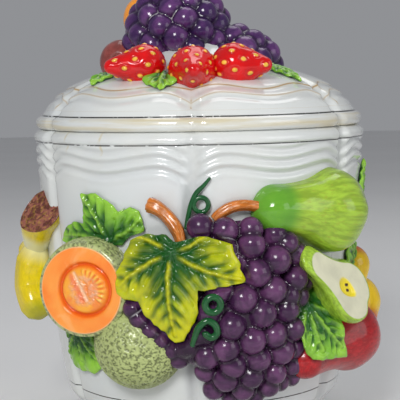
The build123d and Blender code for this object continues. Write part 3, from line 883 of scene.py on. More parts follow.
class JAR_OT_lid(bpy.types.Operator):
    """Build the glazed lid: band, lobed dome with waves, and the flange that drops into the mouth"""
    bl_idname = "jar.lid"
    bl_label = "Lid"

    def execute(self, context):
        form, look = settings(context)
        piece = spun("lid", lid_profile(), 360)

        def outside(radius, height):
            return (height > dome_height(radius) - 2).astype(float) * smooth_step(height, 190, 192)
        depth = LID_WAVE_DEPTH * form.wave_depth / MM
        azimuth, height, outer = waved(
            piece, LID_WAVES, LID_WAVE_RISE, LID_WAVE_FALLS, depth, form, outside)
        low_vein, high_vein = VEIN_HEIGHTS
        low = height - low_vein - wave_rise(azimuth, LID_WAVE_RISE, LID_WAVE_FALLS[0])
        ripple = 0.4 * np.sin(np.radians(azimuth) * 11)
        high = height - high_vein - wave_rise(azimuth, *VEIN_HIGH_SWING) - ripple
        far = (1 - outer) * OUT_OF_SIGHT
        note(piece, "vein_low", low + far)
        note(piece, "vein_high", high + far)
        tilt = 0.12 * (height - 198)
        cracks = [np.abs(azimuth - crack + tilt) * 1.5 for crack in LID_CRACKS]
        middle = np.abs(azimuth - 0.35 * np.sin(height * 0.8)) * 1.5 + OUT_OF_SIGHT * (height > 199)
        on_band = OUT_OF_SIGHT * (height < 188)
        note(piece, "crackle", np.minimum.reduce([*cracks, middle]) + on_band + far)
        finish_piece(piece, "lid", lid_glaze(look), ["lid_shell"])
        return {"FINISHED"}


class JAR_OT_seal(bpy.types.Operator):
    """Give the seal on the lid's flange its soft clear finish"""
    bl_idname = "jar.seal"
    bl_label = "Seal"

    def execute(self, context):
        look = context.scene.jar_look
        f = Finish("Seal Rubber", roughness=0.42, coat=0.0)
        base = f.mix(f.patches(160, 0.4, 0.7, 4), look.seal, look.seal_dust)
        material = f.done(base, f.uneven(0.36, 0.5, 120), f.cloud(600, 2), 0.0001, 0.3)
        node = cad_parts["lid_seal"]
        node.data.materials.clear()
        node.data.materials.append(material)
        return {"FINISHED"}


# -------------------- leaves
VINE_LEAF = [  # direction from up, clockwise, and reach
    (13, 6), (-18, 10), (-37, 12), (-57, 18), (-76, 24), (-96, 28), (-111, 34), (-119, 37), (-127, 39),
    (-134, 39), (-145, 33), (-155, 38), (-168, 43), (-176, 49), (180, 51), (174, 49), (169, 45), (163, 41),
    (157, 36), (152, 30), (145, 26), (138, 28), (129, 32), (120, 38), (113, 44), (109, 41), (103, 38),
    (96, 35), (90, 33), (84, 32), (76, 26), (67, 21), (60, 17), (54, 13), (41, 8),
]
VINE_RIBS = [(179, 46), (113, 40), (-122, 35), (66, 19), (-68, 22)]
VINE_SEAT = (-5.5, 105, 118)  # azimuth, radius and height of the leaf's own plane
VINE_BALL = (-4, 46, 102), 69.6  # middle and radius of the ball that it lies on
VINE_THINNER = 0.4  # than the other leaves
THREE_LOBED_LEAF = [
    (-45, 32), (-27, 26), (0, 17), (16, 13), (29, 19), (48, 21), (74, 20), (83, 18), (90, 10), (141, 7),
    (-130, 9), (-104, 21), (-104, 36), (-98, 44), (-87, 40), (-78, 31), (-76, 23), (-60, 26),
]
THREE_LOBED_RIBS = [(-34, 31), (57, 26), (-87, 36)]
BROAD_LEAF = [
    (-60, 10), (-20, 12), (20, 12), (60, 14), (95, 17), (117, 21), (131, 25), (141, 32), (146, 36), (153, 33),
    (164, 30), (176, 29), (-170, 28), (-158, 25), (-145, 19), (-115, 13),
]
BROAD_RIBS = [(146, 32), (112, 17), (172, 27), (-160, 22)]
BROAD_BALL = (46, 57, 58), 56
LOW_LEAF = [
    (-100, 21), (-112, 23), (-127, 24), (-146, 22), (-166, 21), (170, 20), (157, 22), (138, 22), (120, 17),
    (80, 12), (40, 12), (0, 13), (-40, 15), (-75, 18),
]
LOW_RIBS = [(-135, 22), (175, 17), (135, 20)]
POINTED_LEAVES = [  # node, azimuth, radius, height, spin, length, width
    ("leaf_far_upper", 80, 100, 128, -14, 32, 20),
    ("leaf_far_lower", 74, 98, 88, 20, 32, 20),
]
LID_LEAVES = [  # node, azimuth, base radius, length, width, spin
    ("lid_leaf_left", -52, 62, 17, 17, 14),
    ("lid_leaf_centre", -14, 63, 21, 25, 8),
    ("lid_leaf_right", 58, 47, 33, 17, -16),
    ("lid_leaf_back_left", -150, 50, 26, 16, 15),
    ("lid_leaf_back_right", 140, 50, 26, 16, -15),
]
RIB_WIDTH = 1.1
BESIDE_RIB = 2.1  # from a rib's middle to the middle of the hollow beside it
GROOVE_BEND = 11  # degrees that a side groove turns back at each of its steps


def spread(reaches):
    """Corners of a leaf's outline from (direction clockwise from up, reach) pairs."""
    turn, reach = np.radians([t for t, r in reaches]), np.array([r for t, r in reaches])
    return np.stack([reach * np.sin(turn), reach * np.cos(turn)], 1)


def pointed(length, width):
    """Outline of a pointed leaf with its base at 0 and its tip up."""
    wide = 0.42 * width
    side = curve_through([(0, 0), (wide, 0.25 * length), (wide, 0.6 * length), (0, length)], 10)
    return np.vstack([side, side[-2:0:-1] * (-1, 1)])


def side_groove(main, far, turn, side, k, count):
    """A bent groove that leaves a rib on one side, the k-th of so many, shorter towards the rib's tip."""
    shares = np.linspace(0, 1, len(main))
    share = (k + 0.62 + 0.22 * side) / (count + 0.45)
    line = [np.array([np.interp(share, shares, [p[axis] for p in main]) for axis in (0, 1)])]
    long = 0.55 * far * (1 - 0.72 * share) * (1 + 0.16 * math.sin(2.3 * k + 1.7 * side + far))
    for _ in range(3):
        line.append(line[-1] + long / 3 * np.array([math.sin(turn), math.cos(turn)]))
        turn -= side * math.radians(GROOVE_BEND)
    return line


def leaf_strokes(ribs, foot, gap, lean=50):
    """A leaf's main ribs, and the grooves that leave each of them on both sides."""
    mains, grooves = [], []
    for direction, far in ribs:
        d = math.radians(direction)
        ahead, aside = np.array([math.sin(d), math.cos(d)]), np.array([math.cos(d), -math.sin(d)])
        main = [np.array(foot) + share * far * ahead + 0.05 * far * math.sin(math.pi * share) * aside
                for share in np.linspace(0, 1, 5)]
        mains.append(main)
        count = max(2, round(far / gap))
        for k in range(count):
            for side in (-1, 1):
                grooves.append(side_groove(main, far, d + side * math.radians(lean), side, k, count))
    return mains, grooves


def rim_of(outline, hub, phi):
    """How far a leaf's outline is from its hub, in directions phi clockwise from up."""
    line = np.vstack([outline, outline[:1]])
    steps = np.linspace(0, 1, 8)[:-1, None]
    fine = np.vstack([a + (b - a) * t for a, b in zip(line, line[1:]) for t in steps])
    off = fine - hub
    turn, reach = np.arctan2(off[:, 0], off[:, 1]), np.hypot(off[:, 0], off[:, 1])
    order = np.argsort(turn)

    def around(angle):
        return np.interp(angle, turn[order], reach[order], period=2 * math.pi)
    soft = np.mean([around(phi + d) for d in np.radians((-4, -2, 0, 2, 4))], axis=0)
    return np.minimum(around(phi), soft + 1)


def leaf_net(start, outline, hub, grooves, teeth):
    """A ball flattened on to a leaf's own plane, its rim on the outline, notched where grooves run out."""
    upper, share = two_faces(start)
    phi = np.arctan2(start[:, 0], start[:, 1])
    rim = rim_of(outline, hub, phi)
    notch = nearest_stroke(hub[0] + rim * np.sin(phi), hub[1] + rim * np.cos(phi), grooves)[0]
    rim *= 1 - 0.035 * bell(notch, 2.2) + teeth * np.sin(phi * 19 + np.sin(phi * 3))
    rho = share ** 0.9
    return upper, phi, rho, rim.max(), hub[0] + rho * rim * np.sin(phi), hub[1] + rho * rim * np.cos(phi)


def leaf_relief(lines, depth):
    """How high the blade stands: raised ribs with a hollow beside them, grooves, and quilting between."""
    to_main, _, to_groove, along_groove = lines
    rib, beside = bell(to_main, RIB_WIDTH), bell(to_main - BESIDE_RIB, RIB_WIDTH)
    groove = bell(to_groove, 1.25 - 0.35 * along_groove)
    quilt = smooth_step(to_groove, 0.6, 3.6) * smooth_step(to_main, 1.4, 4.4)
    return depth * (0.7 * rib - 0.6 * beside - 0.9 * groove + 0.6 * quilt - 0.35)


def paint_leaf(piece, upper, from_foot, dark_foot, wander, lines):
    """Notes where the glaze is dark in the grooves, pale on the ribs, dark at the foot and shaded, with the
    underside painted dark as painted shade.
    """
    to_main, along_main, to_groove, along_groove = lines
    painted = bell(to_groove, 1.9 - along_groove) * (1 - smooth_step(along_groove + 0.3 * wander, 0.45, 0.95))
    beside = bell(to_main - BESIDE_RIB, RIB_WIDTH) * (1 - smooth_step(along_main, 0.35, 0.85))
    shaded = bell(to_main + 2 * wander, 7) * (1 - smooth_step(along_main, 0.3, 1))
    note(piece, "groove", np.clip(painted + 0.8 * beside, 0, 1) * upper)
    note(piece, "rib", bell(to_main, RIB_WIDTH) * upper * smooth_step(from_foot, 3, 9))
    # the foot note also paints the whole underside dark: painted shade under the leaf
    note(piece, "foot", np.clip(bell(from_foot, dark_foot) * 1.15 + 0.9 * (~upper), 0, 1))
    note(piece, "shaded", np.clip(1.1 * shaded + 0.25 * wander, 0, 1))


def make_leaf(node, outline, hub, ribs, foot, surface, thickness, material, body, slot,
              segments, rings, depth, frill, gap=7.5, teeth=0.012, dark_foot=None):
    """A pressed leaf: a flattened ball, its rim on the outline, with ribs, grooves and a quilted blade."""
    piece, start = ball_start(node + "_dressed", segments, rings)
    mains, grooves = leaf_strokes(ribs, foot, gap)
    upper, phi, rho, widest, x, y = leaf_net(start, outline, hub, grooves, teeth)
    wander = 0.55 * noise_at(np.stack([x, y, 0 * x], 1), 0.16, 2)
    lines = (*nearest_stroke(x + wander, y - wander, mains), *nearest_stroke(x + wander, y - wander, grooves))
    wave = frill * np.sin(phi * 9 + 1.5 * np.sin(phi * 2)) * smooth_step(rho, 0.5, 1)
    half = thickness / 2 * np.sqrt(np.clip(1 - rho**6, 0, 1))
    relief = leaf_relief(lines, depth) * (1 - rho**14)
    level = np.where(upper, -thickness / 2 + half + relief + wave, -thickness / 2 - half + wave)
    shape(piece, surface(x, y, level))
    from_foot = np.hypot(x - foot[0], y - foot[1]) * (1 + 0.9 * wander)
    paint_leaf(piece, upper, from_foot, dark_foot or 0.22 * widest + 4, wander, lines)
    note(piece, "own", np.stack([x, y, level], 1) / 10)
    finish_piece(piece, body, material, [node])


def make_pointed_leaf(node, long, wide, surface, thickness, material, body, **detail):
    """A pressed pointed leaf with one rib."""
    make_leaf(node, pointed(long, wide), (0, 0.45 * long), [(0, 0.95 * long)], (0, 0), surface, thickness,
              material, body, "leaf_glaze", frill=0.5, **detail)


def on_ball(where, direction, middle, radius):
    """A leaf's surface on a ball: its own plane pushed along a direction on to the ball."""
    def surface(x, y, level):
        flat = flat_in(where, x, y)
        off = flat - middle
        along = off @ direction
        root = np.sqrt(np.maximum(along**2 - (off**2).sum(1) + radius**2, 0))
        onto = flat + (root - along)[:, None] * direction
        return onto + unit(onto - middle) * level[:, None]
    return surface


def on_wall(where, direction, tables, lift):
    """A leaf's surface on the pot's wall, half-way down into its grooves and lifted by so much."""
    def surface(x, y, level):
        onto = flat_in(where, x, y)
        for _ in range(8):
            out = unit(onto * (1, 1, 0))
            wall = wall_radius(onto[:, 2])
            target = 0.5 * lobed(wall, azimuth_of(onto), tables) + 0.5 * wall + lift
            miss = target - np.hypot(onto[:, 0], onto[:, 1])
            onto = onto + (miss / np.maximum(out @ direction, 0.4))[:, None] * direction
        return onto + unit(onto * (1, 1, 0)) * level[:, None]
    return surface


def on_dome(where, tables, lift):
    """A leaf's surface on the lid's dome."""
    def surface(x, y, level):
        onto = flat_in(where, x, y)
        radius = np.hypot(onto[:, 0], onto[:, 1])
        middle = unlobed(radius, azimuth_of(onto), tables) * 0.5 + radius * 0.5
        slope = (dome_height(middle + 1) - dome_height(middle - 1)) / 2
        onto[:, 2] = dome_height(middle) + lift
        lean = -slope / radius
        normal = np.column_stack([lean * onto[:, 0], lean * onto[:, 1], np.ones_like(x)])
        return onto + unit(normal) * level[:, None]
    return surface


class JAR_OT_vine_leaf(bpy.types.Operator):
    """Build the broad yellow vine leaf over the top of the big bunch"""
    bl_idname = "jar.vine_leaf"
    bl_label = "Vine Leaf"

    def execute(self, context):
        form, look = settings(context)
        material = leaf_glaze("Vine Leaf Glaze", look.vine_light, look.vine_mid, look.leaf_dark)
        middle, radius = VINE_BALL
        surface = on_ball(facing(*VINE_SEAT), at(VINE_SEAT[0], 1, 0), at(*middle), radius)
        make_leaf("vine_leaf", spread(VINE_LEAF), (0, 0), VINE_RIBS, (0, 0), surface,
                  form.leaf_thickness / MM - VINE_THINNER, material, "jar", "vine_leaf_glaze",
                  segments=360, rings=128, depth=1.35, frill=0.6, gap=10, teeth=0.010, dark_foot=23)
        return {"FINISHED"}


class JAR_OT_wall_leaves(bpy.types.Operator):
    """Build the green leaves that lie against the pot"""
    bl_idname = "jar.wall_leaves"
    bl_label = "Wall Leaves"

    def execute(self, context):
        form, look = settings(context)
        tables, thickness = tables_of(form), form.leaf_thickness / MM
        material = leaf_glaze("Green Leaf Glaze", look.leaf_light, look.leaf_mid, look.leaf_dark)
        surface = on_wall(facing(-26, 100, 124), at(-26, 1, 0), tables, thickness)
        make_leaf("leaf_upper_left", spread(THREE_LOBED_LEAF), (-12, 2), THREE_LOBED_RIBS, (-5, -4), surface,
                  thickness, material, "jar", "leaf_glaze",
                  segments=288, rings=96, depth=1.1, frill=0.5, gap=9, teeth=0.004, dark_foot=11)
        surface = on_wall(facing(-47, 100, 62), at(-47, 1, 0), tables, thickness)
        make_leaf("leaf_lower_left", spread(LOW_LEAF), (-4, -4), LOW_RIBS, (-2, 4), surface,
                  thickness, material, "jar", "leaf_glaze",
                  segments=224, rings=80, depth=1.0, frill=0.4, gap=7, teeth=0.008, dark_foot=13)
        middle, radius = BROAD_BALL
        surface = on_ball(facing(38, 105, 82), at(42, 1, 0), at(*middle), radius)
        make_leaf("leaf_right", spread(BROAD_LEAF), (6, -14), BROAD_RIBS, (-3, 4), surface,
                  thickness, material, "jar", "leaf_glaze",
                  segments=256, rings=96, depth=1.1, frill=0.5, gap=6, teeth=0.008, dark_foot=15)
        for node, azimuth, radius, height, spin, long, wide in POINTED_LEAVES:
            surface = on_wall(facing(azimuth, radius, height, spin), at(azimuth, 1, 0), tables, thickness)
            make_pointed_leaf(node, long, wide, surface, thickness, material, "jar",
                              segments=176, rings=64, depth=0.9)
        return {"FINISHED"}


class JAR_OT_lid_leaves(bpy.types.Operator):
    """Build the small leaves on the lid"""
    bl_idname = "jar.lid_leaves"
    bl_label = "Lid Leaves"

    def execute(self, context):
        form, look = settings(context)
        tables, thickness = tables_of(form), form.leaf_thickness / MM
        material = leaf_glaze("Lid Leaf Glaze", look.leaf_light, look.leaf_mid, look.leaf_dark)
        for node, azimuth, radius, long, wide, spin in LID_LEAVES:
            where = place(at(azimuth, radius, 230), at(azimuth - 90 + spin, 1, 0), (0, 0, 1))
            surface = on_dome(where, tables, thickness)
            make_pointed_leaf(node, long, wide, surface, thickness, material, "lid",
                              segments=144, rings=48, depth=0.8)
        return {"FINISHED"}


# -------------------- grapes
FRONT_GRAPES = [  # azimuth, height, radius, middle off the wall
    (2.5, 130, 6.9, 6.5), (9.7, 128, 6.8, 8.5), (17.5, 128, 6.4, 8.0), (17.2, 120, 7.0, 11.4),
    (28.9, 119, 6.4, 9.0), (32, 113.5, 6.4, 8.6), (25, 111, 7.5, 12), (18.5, 105, 7.3, 14),
    (31.5, 99.5, 6.9, 11), (23.5, 95, 7.3, 14.2), (14.3, 91.5, 7.5, 15), (28.4, 83.5, 6.9, 13),
    (20, 83, 7.5, 15.2), (11, 77, 7.4, 15), (31.4, 71.5, 6.5, 11.4), (24.3, 70, 6.9, 13.8),
    (17.2, 68.3, 7.3, 14.6), (9.5, 64.5, 7.3, 13.6), (3.8, 60, 7.1, 11.6), (27.4, 60, 7.2, 11.8),
    (19.4, 57, 6.9, 13), (11.8, 54.4, 7.0, 12.4), (33.6, 50, 6.0, 7.4), (26, 47.6, 6.6, 10),
    (17.8, 47.3, 6.9, 11), (9.8, 46.1, 6.8, 10.2), (33, 60, 6.2, 8.6), (24.8, 39.6, 6.2, 7.6),
    (15.6, 39.5, 6.4, 8.6), (-2.9, 65.7, 6.8, 9.3), (-5.2, 58.5, 6.2, 7.2), (-19.5, 82, 5.8, 3.6),
    (-11.2, 67, 6.3, 4.6), (33.4, 89.5, 6.3, 9.4), (20.5, 34.5, 5.6, 4.6), (8.6, 118.5, 7.4, 11.6),
    (11.6, 108, 7.4, 13), (3.2, 104, 7.4, 9.5), (7.4, 97, 7.4, 13), (-2, 92, 7.2, 6.5),
    (4.6, 84, 7.4, 11.5), (-5, 81, 7.0, 5.5), (3.2, 72.5, 7.2, 11), (-13.5, 75, 6.4, 4.2),
    (25.6, 124, 6.2, 6.4), (36, 105.5, 5.4, 5.2), (36.2, 78, 5.4, 6.2), (29.8, 40.6, 5.6, 5.2),
    (3.4, 50.6, 6.0, 7.2), (-17.4, 86.4, 5.6, 14.8), (-15.7, 81.4, 5.8, 14.6), (-12.6, 75.4, 6.0, 13.6),
    (-9.9, 70.2, 6.0, 12.2), (-7, 64.4, 6.2, 9.6), (-1.7, 66.4, 6.6, 10), (0.6, 60.7, 6.4, 7),
    (1.8, 73, 6.8, 12.6), (29, 91, 6.6, 12), (36, 96, 5.8, 7), (35.4, 69, 5.8, 8),
    (34.6, 42, 5.2, 5), (12.5, 33.5, 5.6, 5), (6, 39.5, 5.8, 6),
]
GRAPE_SWELL = 1.07  # each grape against its measure in the table
BUNCH_CORES = [  # azimuth, distance from the jar's axis, height, radius
    (16, 80, 109, 28), (16, 80, 86, 29.5), (17, 79, 62, 26), (18, 78, 46, 19), (4, 80, 92, 25),
    (-4, 80, 74, 18), (25, 81, 86, 26),
]
HEAPS = [  # middle, reach along each axis, grapes over each
    ((-11, 0, 231), (27, 28, 30.5), 46), ((20, -2, 216), (25, 20, 18), 26),
]
HEAP_LOWEST = -0.2
GOLDEN_ANGLE = math.pi * (3 - math.sqrt(5))
BARE_AND_HIGHLIGHT_FRONT = 0.3  # strength of the white crease lines on the big bunch, partly white glaze showing through and partly painted highlight
BARE_AND_HIGHLIGHT_LID = 0.45  # and on the lid's


def creases(points, balls):
    """1 where two balls meet, 0 on the open skin of one."""
    nearest = np.full(len(points), 1e9)
    second = nearest.copy()
    for middle, radius in balls:
        off = np.linalg.norm(points - middle, axis=1) - radius
        second = np.minimum(second, np.maximum(off, nearest))
        nearest = np.minimum(nearest, off)
    return bell(second - nearest, 2.2)


def under_vine_leaf(points):
    """Grapes that reach through the vine leaf are pressed back under it."""
    turn, origin = facing(*VINE_SEAT)
    right, up = ((points - origin) @ turn)[:, :2].T
    past = np.hypot(right, up) - rim_of(spread(VINE_LEAF), (0, 0), np.arctan2(right, up))
    middle, radius = VINE_BALL
    off = points - at(*middle)
    limit = radius - 3.4 + 45 * smooth_step(past, 0.3, 14)  # under the leaf, and let go beyond its edge
    return at(*middle) + off * np.minimum(1, limit / np.linalg.norm(off, axis=1))[:, None]


def bunch(name, balls, cores, voxel):
    """One glazed bunch: a ball copied to each grape's place and all joined in one skin."""
    first, start = ball_start(name, 32, 20)
    pieces = []
    for middle, radius in [*balls, *cores]:
        copy = first.copy()
        copy.data = first.data.copy()
        bpy.context.scene.collection.objects.link(copy)
        shape(copy, start * radius + middle)
        pieces.append(copy)
    bpy.data.objects.remove(first)
    return fused(joined(name, pieces), voxel)


def heap_points(heap):
    """Grape middles spread evenly over an egg-shaped heap, down from its top in a spiral."""
    middle, reach, count = heap
    for k in range(count):
        level = 1 - (1 - HEAP_LOWEST) * (k + 0.5) / count
        ring = math.sqrt(1 - level**2)
        turn = GOLDEN_ANGLE * k
        yield np.array(middle) + np.array(reach) * (ring * math.cos(turn), ring * math.sin(turn), level)


class JAR_OT_front_grapes(bpy.types.Operator):
    """Build the big bunch of grapes"""
    bl_idname = "jar.front_grapes"
    bl_label = "Big Bunch"

    def execute(self, context):
        form, look = settings(context)
        balls = [(at(a, wall_radius(z) + off, z), r * GRAPE_SWELL) for a, z, r, off in FRONT_GRAPES]
        cores = [(at(a, depth, z), r) for a, depth, z, r in BUNCH_CORES]
        piece = bunch("grapes", balls, cores, form.voxel / MM)
        points = points_of(piece) / MM
        shape(piece, under_vine_leaf(pressed_to_wall(points, tables_of(form))))
        note(piece, "crease", creases(points, balls))
        material = grape_glaze("Plum Glaze", look.grape, look.grape_bloom, look.bare_line_and_highlight, BARE_AND_HIGHLIGHT_FRONT)
        finish_piece(piece, "jar", material, ["grapes_front"])
        return {"FINISHED"}


class JAR_OT_lid_grapes(bpy.types.Operator):
    """Build the heap of grapes that is the lid's handle"""
    bl_idname = "jar.lid_grapes"
    bl_label = "Lid Grapes"

    def execute(self, context):
        form, look = settings(context)
        balls = []
        for heap, other in (HEAPS, HEAPS[::-1]):
            for point in heap_points(heap):
                if np.linalg.norm((point - other[0]) / other[1]) > 1:
                    balls.append((point, form.lid_grape_radius / MM))
        cores = [(np.array(middle), np.array(reach)) for middle, reach, _ in HEAPS]
        piece = bunch("lid_bunch", balls, cores, form.voxel / MM)
        points = points_of(piece) / MM
        shape(piece, pressed_to_dome(points, tables_of(form)))
        note(piece, "crease", creases(points, balls))
        material = grape_glaze("Blue Plum Glaze", look.lid_grape, look.lid_bloom, look.bare_line_and_highlight, BARE_AND_HIGHLIGHT_LID)
        finish_piece(piece, "lid", material, ["lid_grapes"])
        return {"FINISHED"}


# -------------------- turned fruit
PEACHES = [  # node, tail, head, tail radius, head radius
    ("peach_upper", (76, 92, 77), (82, 91, 107), 10, 12),
    ("peach_lower", (78, 94, 53), (91, 95, 85), 13.5, 16),
]
CUT_PEAR_TAIL = (31.6, 111, 113)
CUT_PEAR_HEAD = (57, 112, 76.5)
CUT_PEAR_SIZES = (8.5, 18.5, 60)  # neck, belly and waist
CUT_PEAR_LIP = math.radians(118)  # how far round the skin goes before it meets the cut face
CUT_PEAR_TILT = math.radians(-20)
CUT_PEAR_PIPS = [[(5.4, 1.0), (6.6, 1.8)], [(7.0, -1.6), (8.0, -1.0)]]


def turned_fruit(name, tail, head, outline, sizes, tables, segments, rings, lumps,
                 ridges=0, ridge_depth=0.0, dome=False):
    """A fruit turned from its outline between two points, a little uneven, pressed to what carries it."""
    piece, start = ball_start(name, segments, rings)
    own = turned_form(start, outline(float(np.linalg.norm(head - tail)), *sizes))
    if ridges:
        turn = np.arctan2(own[:, 1], own[:, 2])
        own[:, 1:] *= (1 + ridge_depth * np.cos(ridges * turn))[:, None]
    where = place((tail + head) / 2, head - tail, (0, 0, 1)) if dome else between(tail, head)
    points = laid(own, where)
    middle = points.mean(axis=0)
    points += unit(points - middle) * (lumps * noise_at(points, 0.045, 2))[:, None]
    points = pressed_to_dome(points, tables) if dome else pressed_to_wall(points, tables)
    shape(piece, points)
    note(piece, "own", own / 10)
    return piece, own, points


def green_pear(look, tables):
    """The whole green pear, with a greener neck and a dark spot at its stalk's end."""
    f, base = streaked_glaze(
        "Green Pear Glaze", look.pear, 1.25, 0.82, look.pear_streak, (0.22, 2.2, 2.2), 0.6)
    base = f.mix(f.kept("neck"), base, look.pear_neck)
    glaze = f.done(base, f.uneven(0.08, 0.2, 70), f.cloud(120, 2), 0.0003, 0.3)
    piece, own, _ = turned_fruit(
        "green_pear", at(20.4, 105.7, 139), at(64, 98, 131), pear_line, (13.4, 24, 80), tables,
        segments=224, rings=144, lumps=1.0, ridges=7, ridge_depth=0.014)
    stalk_end = own[own[:, 0].argmin()]
    note(piece, "neck", smooth_step(-own[:, 0], 14, 24) * 0.85)
    note(piece, "blush", bell(np.linalg.norm(own - stalk_end, axis=1), 5) * 0.8)
    finish_piece(piece, "jar", glaze, ["pear_green"])


def red_pear(look, tables):
    """The red pear low on the right."""
    f, base = streaked_glaze(
        "Red Pear Glaze", look.pear_red, 1.2, 0.8, look.pear_red_pale, (1.2, 3, 3), 0.3)
    glaze = f.done(base, f.uneven(0.2, 0.42, 60), f.cloud(120, 2), 0.0003, 0.3)
    piece, _, points = turned_fruit(
        "red_pear", at(33, 100, 50), at(78.5, 98, 60.5), pear_line, (11.5, 21, 90), tables,
        segments=192, rings=128, lumps=0.8)
    note(piece, "blush", np.zeros(len(points)))
    finish_piece(piece, "jar", glaze, ["pear_red"])


class JAR_OT_pears(bpy.types.Operator):
    """Build the whole green pear and the red pear"""
    bl_idname = "jar.pears"
    bl_label = "Whole Pears"

    def execute(self, context):
        form, look = settings(context)
        green_pear(look, tables_of(form))
        red_pear(look, tables_of(form))
        return {"FINISHED"}


class JAR_OT_peaches(bpy.types.Operator):
    """Build the two small yellow fruits with red tips"""
    bl_idname = "jar.peaches"
    bl_label = "Small Fruits"

    def execute(self, context):
        form, look = settings(context)
        f, base = streaked_glaze("Peach Glaze", look.peach, 1, 0.9, look.peach_blush, (1, 3, 3), 0.12)
        glaze = f.done(base, f.uneven(0.12, 0.26, 80), f.cloud(150, 2), 0.0003, 0.3)
        for node, tail, head, small, large in PEACHES:
            piece, own, points = turned_fruit(
                node + "_dressed", at(*tail), at(*head), egg_line, (small, large), tables_of(form),
                segments=128, rings=88, lumps=0.6)
            if node == "peach_upper":
                red = smooth_step(own[:, 0], 6, 16)
            else:
                red = smooth_step(-own[:, 0], 2, 10) * smooth_step(own[:, 2], 0, 8)
            note(piece, "blush", np.clip(red + 0.15 * noise_at(points, 0.2), 0, 1))
            finish_piece(piece, "jar", glaze, [node])
        return {"FINISHED"}


def rim_of_half_pear(line, hub, phi):
    """How far the half pear's rim is from its hub, a little drawn in at the flower's end."""
    ring = np.vstack([line, line[-2:0:-1] * (1, -1)]) - hub
    turn, reach = np.arctan2(ring[:, 1], ring[:, 0]), np.hypot(ring[:, 0], ring[:, 1])
    order = np.argsort(turn)
    rim = np.interp(phi, turn[order], reach[order], period=2 * math.pi)
    return rim * (1 - 0.10 * bell(phi, 0.2))


def half_pear_skin(x, y, rho, line, cut_level):
    """Level of the skin behind the cut face, which goes on round past its widest line."""
    body = np.interp(x, line[:, 0], line[:, 1])
    round_by = rho * CUT_PEAR_LIP
    over = np.clip((round_by - math.pi / 2) / (CUT_PEAR_LIP - math.pi / 2), 0, 1)
    bulge = np.cos(np.minimum(round_by, math.pi / 2)) ** 0.3
    return np.where(over > 0, over * cut_level, -np.sqrt(np.clip(body**2 - y**2, 0, None)) * bulge)


def half_pear_form(start, line):
    """Points of the half pear in its own frame, and the notes for its glaze."""
    front, rho = two_faces(start)
    phi = np.arctan2(start[:, 1], start[:, 0])
    hub = np.array([4.0, 0.0])
    rim = rim_of_half_pear(line, hub, phi)
    out = np.where(front, rho * math.sin(CUT_PEAR_LIP), np.sin(rho * CUT_PEAR_LIP))
    x, y = hub[0] + out * rim * np.cos(phi), out * rim * np.sin(phi)
    half_long = line[-1, 0]
    cut_level = 3 + 4.5 * (x + half_long) / (2 * half_long)
    behind = half_pear_skin(x, y, rho, line, cut_level)
    y = y + np.where(front, 0, 3.0 * smooth_step(-behind, -cut_level, 4))
    wedge = 1 - 0.3 * np.clip((x - 4) / 8, -1, 1)
    core_off = np.hypot((x - 6.5) / 8.2, (y + 0.8) / (5.6 * wedge))
    hollow = -1.3 * smooth_step(-core_off, -1.0, -0.55)
    pips = nearest_stroke(x, y, CUT_PEAR_PIPS)[0]
    rounded = 9.6 * np.clip(rho - 0.9, 0, 1) ** 2
    level = np.where(front, cut_level + hollow + 0.6 * bell(pips, 0.9) - rounded, behind)
    notes = {
        "flesh": smooth_step(-rho, -0.985, -0.95),
        "core": smooth_step(-core_off, -1.05, -0.8),
        "seed": smooth_step(-pips, -1.1, -0.6),
    }
    return np.stack([x, y, level], 1), {name: front * value for name, value in notes.items()}


def half_pear_glaze(look):
    """Cream flesh, a yellow core with dark pips, and green skin."""
    f, skin = streaked_glaze("Cut Pear Glaze", look.pear, 1.35, 0.9, look.skin_streak, (0.8, 5, 5), 0.4)
    flesh = f.mix(f.patches(80, 0.35, 0.7), look.pear_flesh, shade_of(look.pear_flesh, 0.86))
    base = f.mix(f.kept("flesh"), skin, flesh)
    base = f.mix(f.kept("core"), base, look.pear_core)
    base = f.mix(f.kept("seed"), base, look.pip)
    return f.done(base, f.uneven(0.1, 0.24, 70), f.cloud(130, 2), 0.0003, 0.3)


class JAR_OT_cut_pear(bpy.types.Operator):
    """Build the half pear: a flat cut face with its core, and a green skin behind"""
    bl_idname = "jar.cut_pear"
    bl_label = "Cut Pear"

    def execute(self, context):
        form, look = settings(context)
        tail, head = at(*CUT_PEAR_TAIL), at(*CUT_PEAR_HEAD)
        piece, start = ball_start("pear_half", 224, 144)
        line = pear_line(float(np.linalg.norm(head - tail)), *CUT_PEAR_SIZES)
        own, notes = half_pear_form(start, line)
        turn, middle = between(tail, head)
        tilt = np.array(Matrix.Rotation(CUT_PEAR_TILT, 3, "X"))
        shape(piece, pressed_to_wall(laid(own, (turn @ tilt, middle)), tables_of(form)))
        note(piece, "own", own / 10)
        note(piece, "blush", np.zeros(len(own)))
        for name, values in notes.items():
            note(piece, name, values)
        finish_piece(piece, "jar", half_pear_glaze(look), ["pear_cut"])
        return {"FINISHED"}


# -------------------- melons
WHOLE_MELON = (-20, 89.5, 64), 25.6  # middle and radius
HALF_MELON_RADIUS = 24.6  # of the cut face
HALF_MELON_BALL = 27.2  # radius of the ball behind it
HALF_MELON_BACK = 9.5  # from the cut face to the ball's middle
HALF_MELON_TURN = (-18, 115, 95)  # the cut face looks outwards from here
HALF_MELON_MIDDLE = (-32.4, 114, 95.4)
MELON_SLIT = [[(-3.6, 9.5), (4.0, -5.0)]]
MELON_WEDGE = [[(-5.4, 8.0), (1.6, -5.6)]]
SEED_TEETH = 24


def rind_pits(points, scale):
    """Small uneven dabs pressed into the rind: 1 in a dab, 0 between."""
    return smooth_step(noise_at(points, scale, 3) + 0.5 * noise_at(points + 40, 0.45 * scale, 2), 0.0, 0.34)


def rind_glaze(f, look):
    """Sage rind with darker pits."""
    base = f.mix(f.patches(60, 0.35, 0.7, 4), look.rind, shade_of(look.rind, 1.2))
    return f.over(base, shade_of(look.rind, 0.33), f.kept("pit"), 0.85)


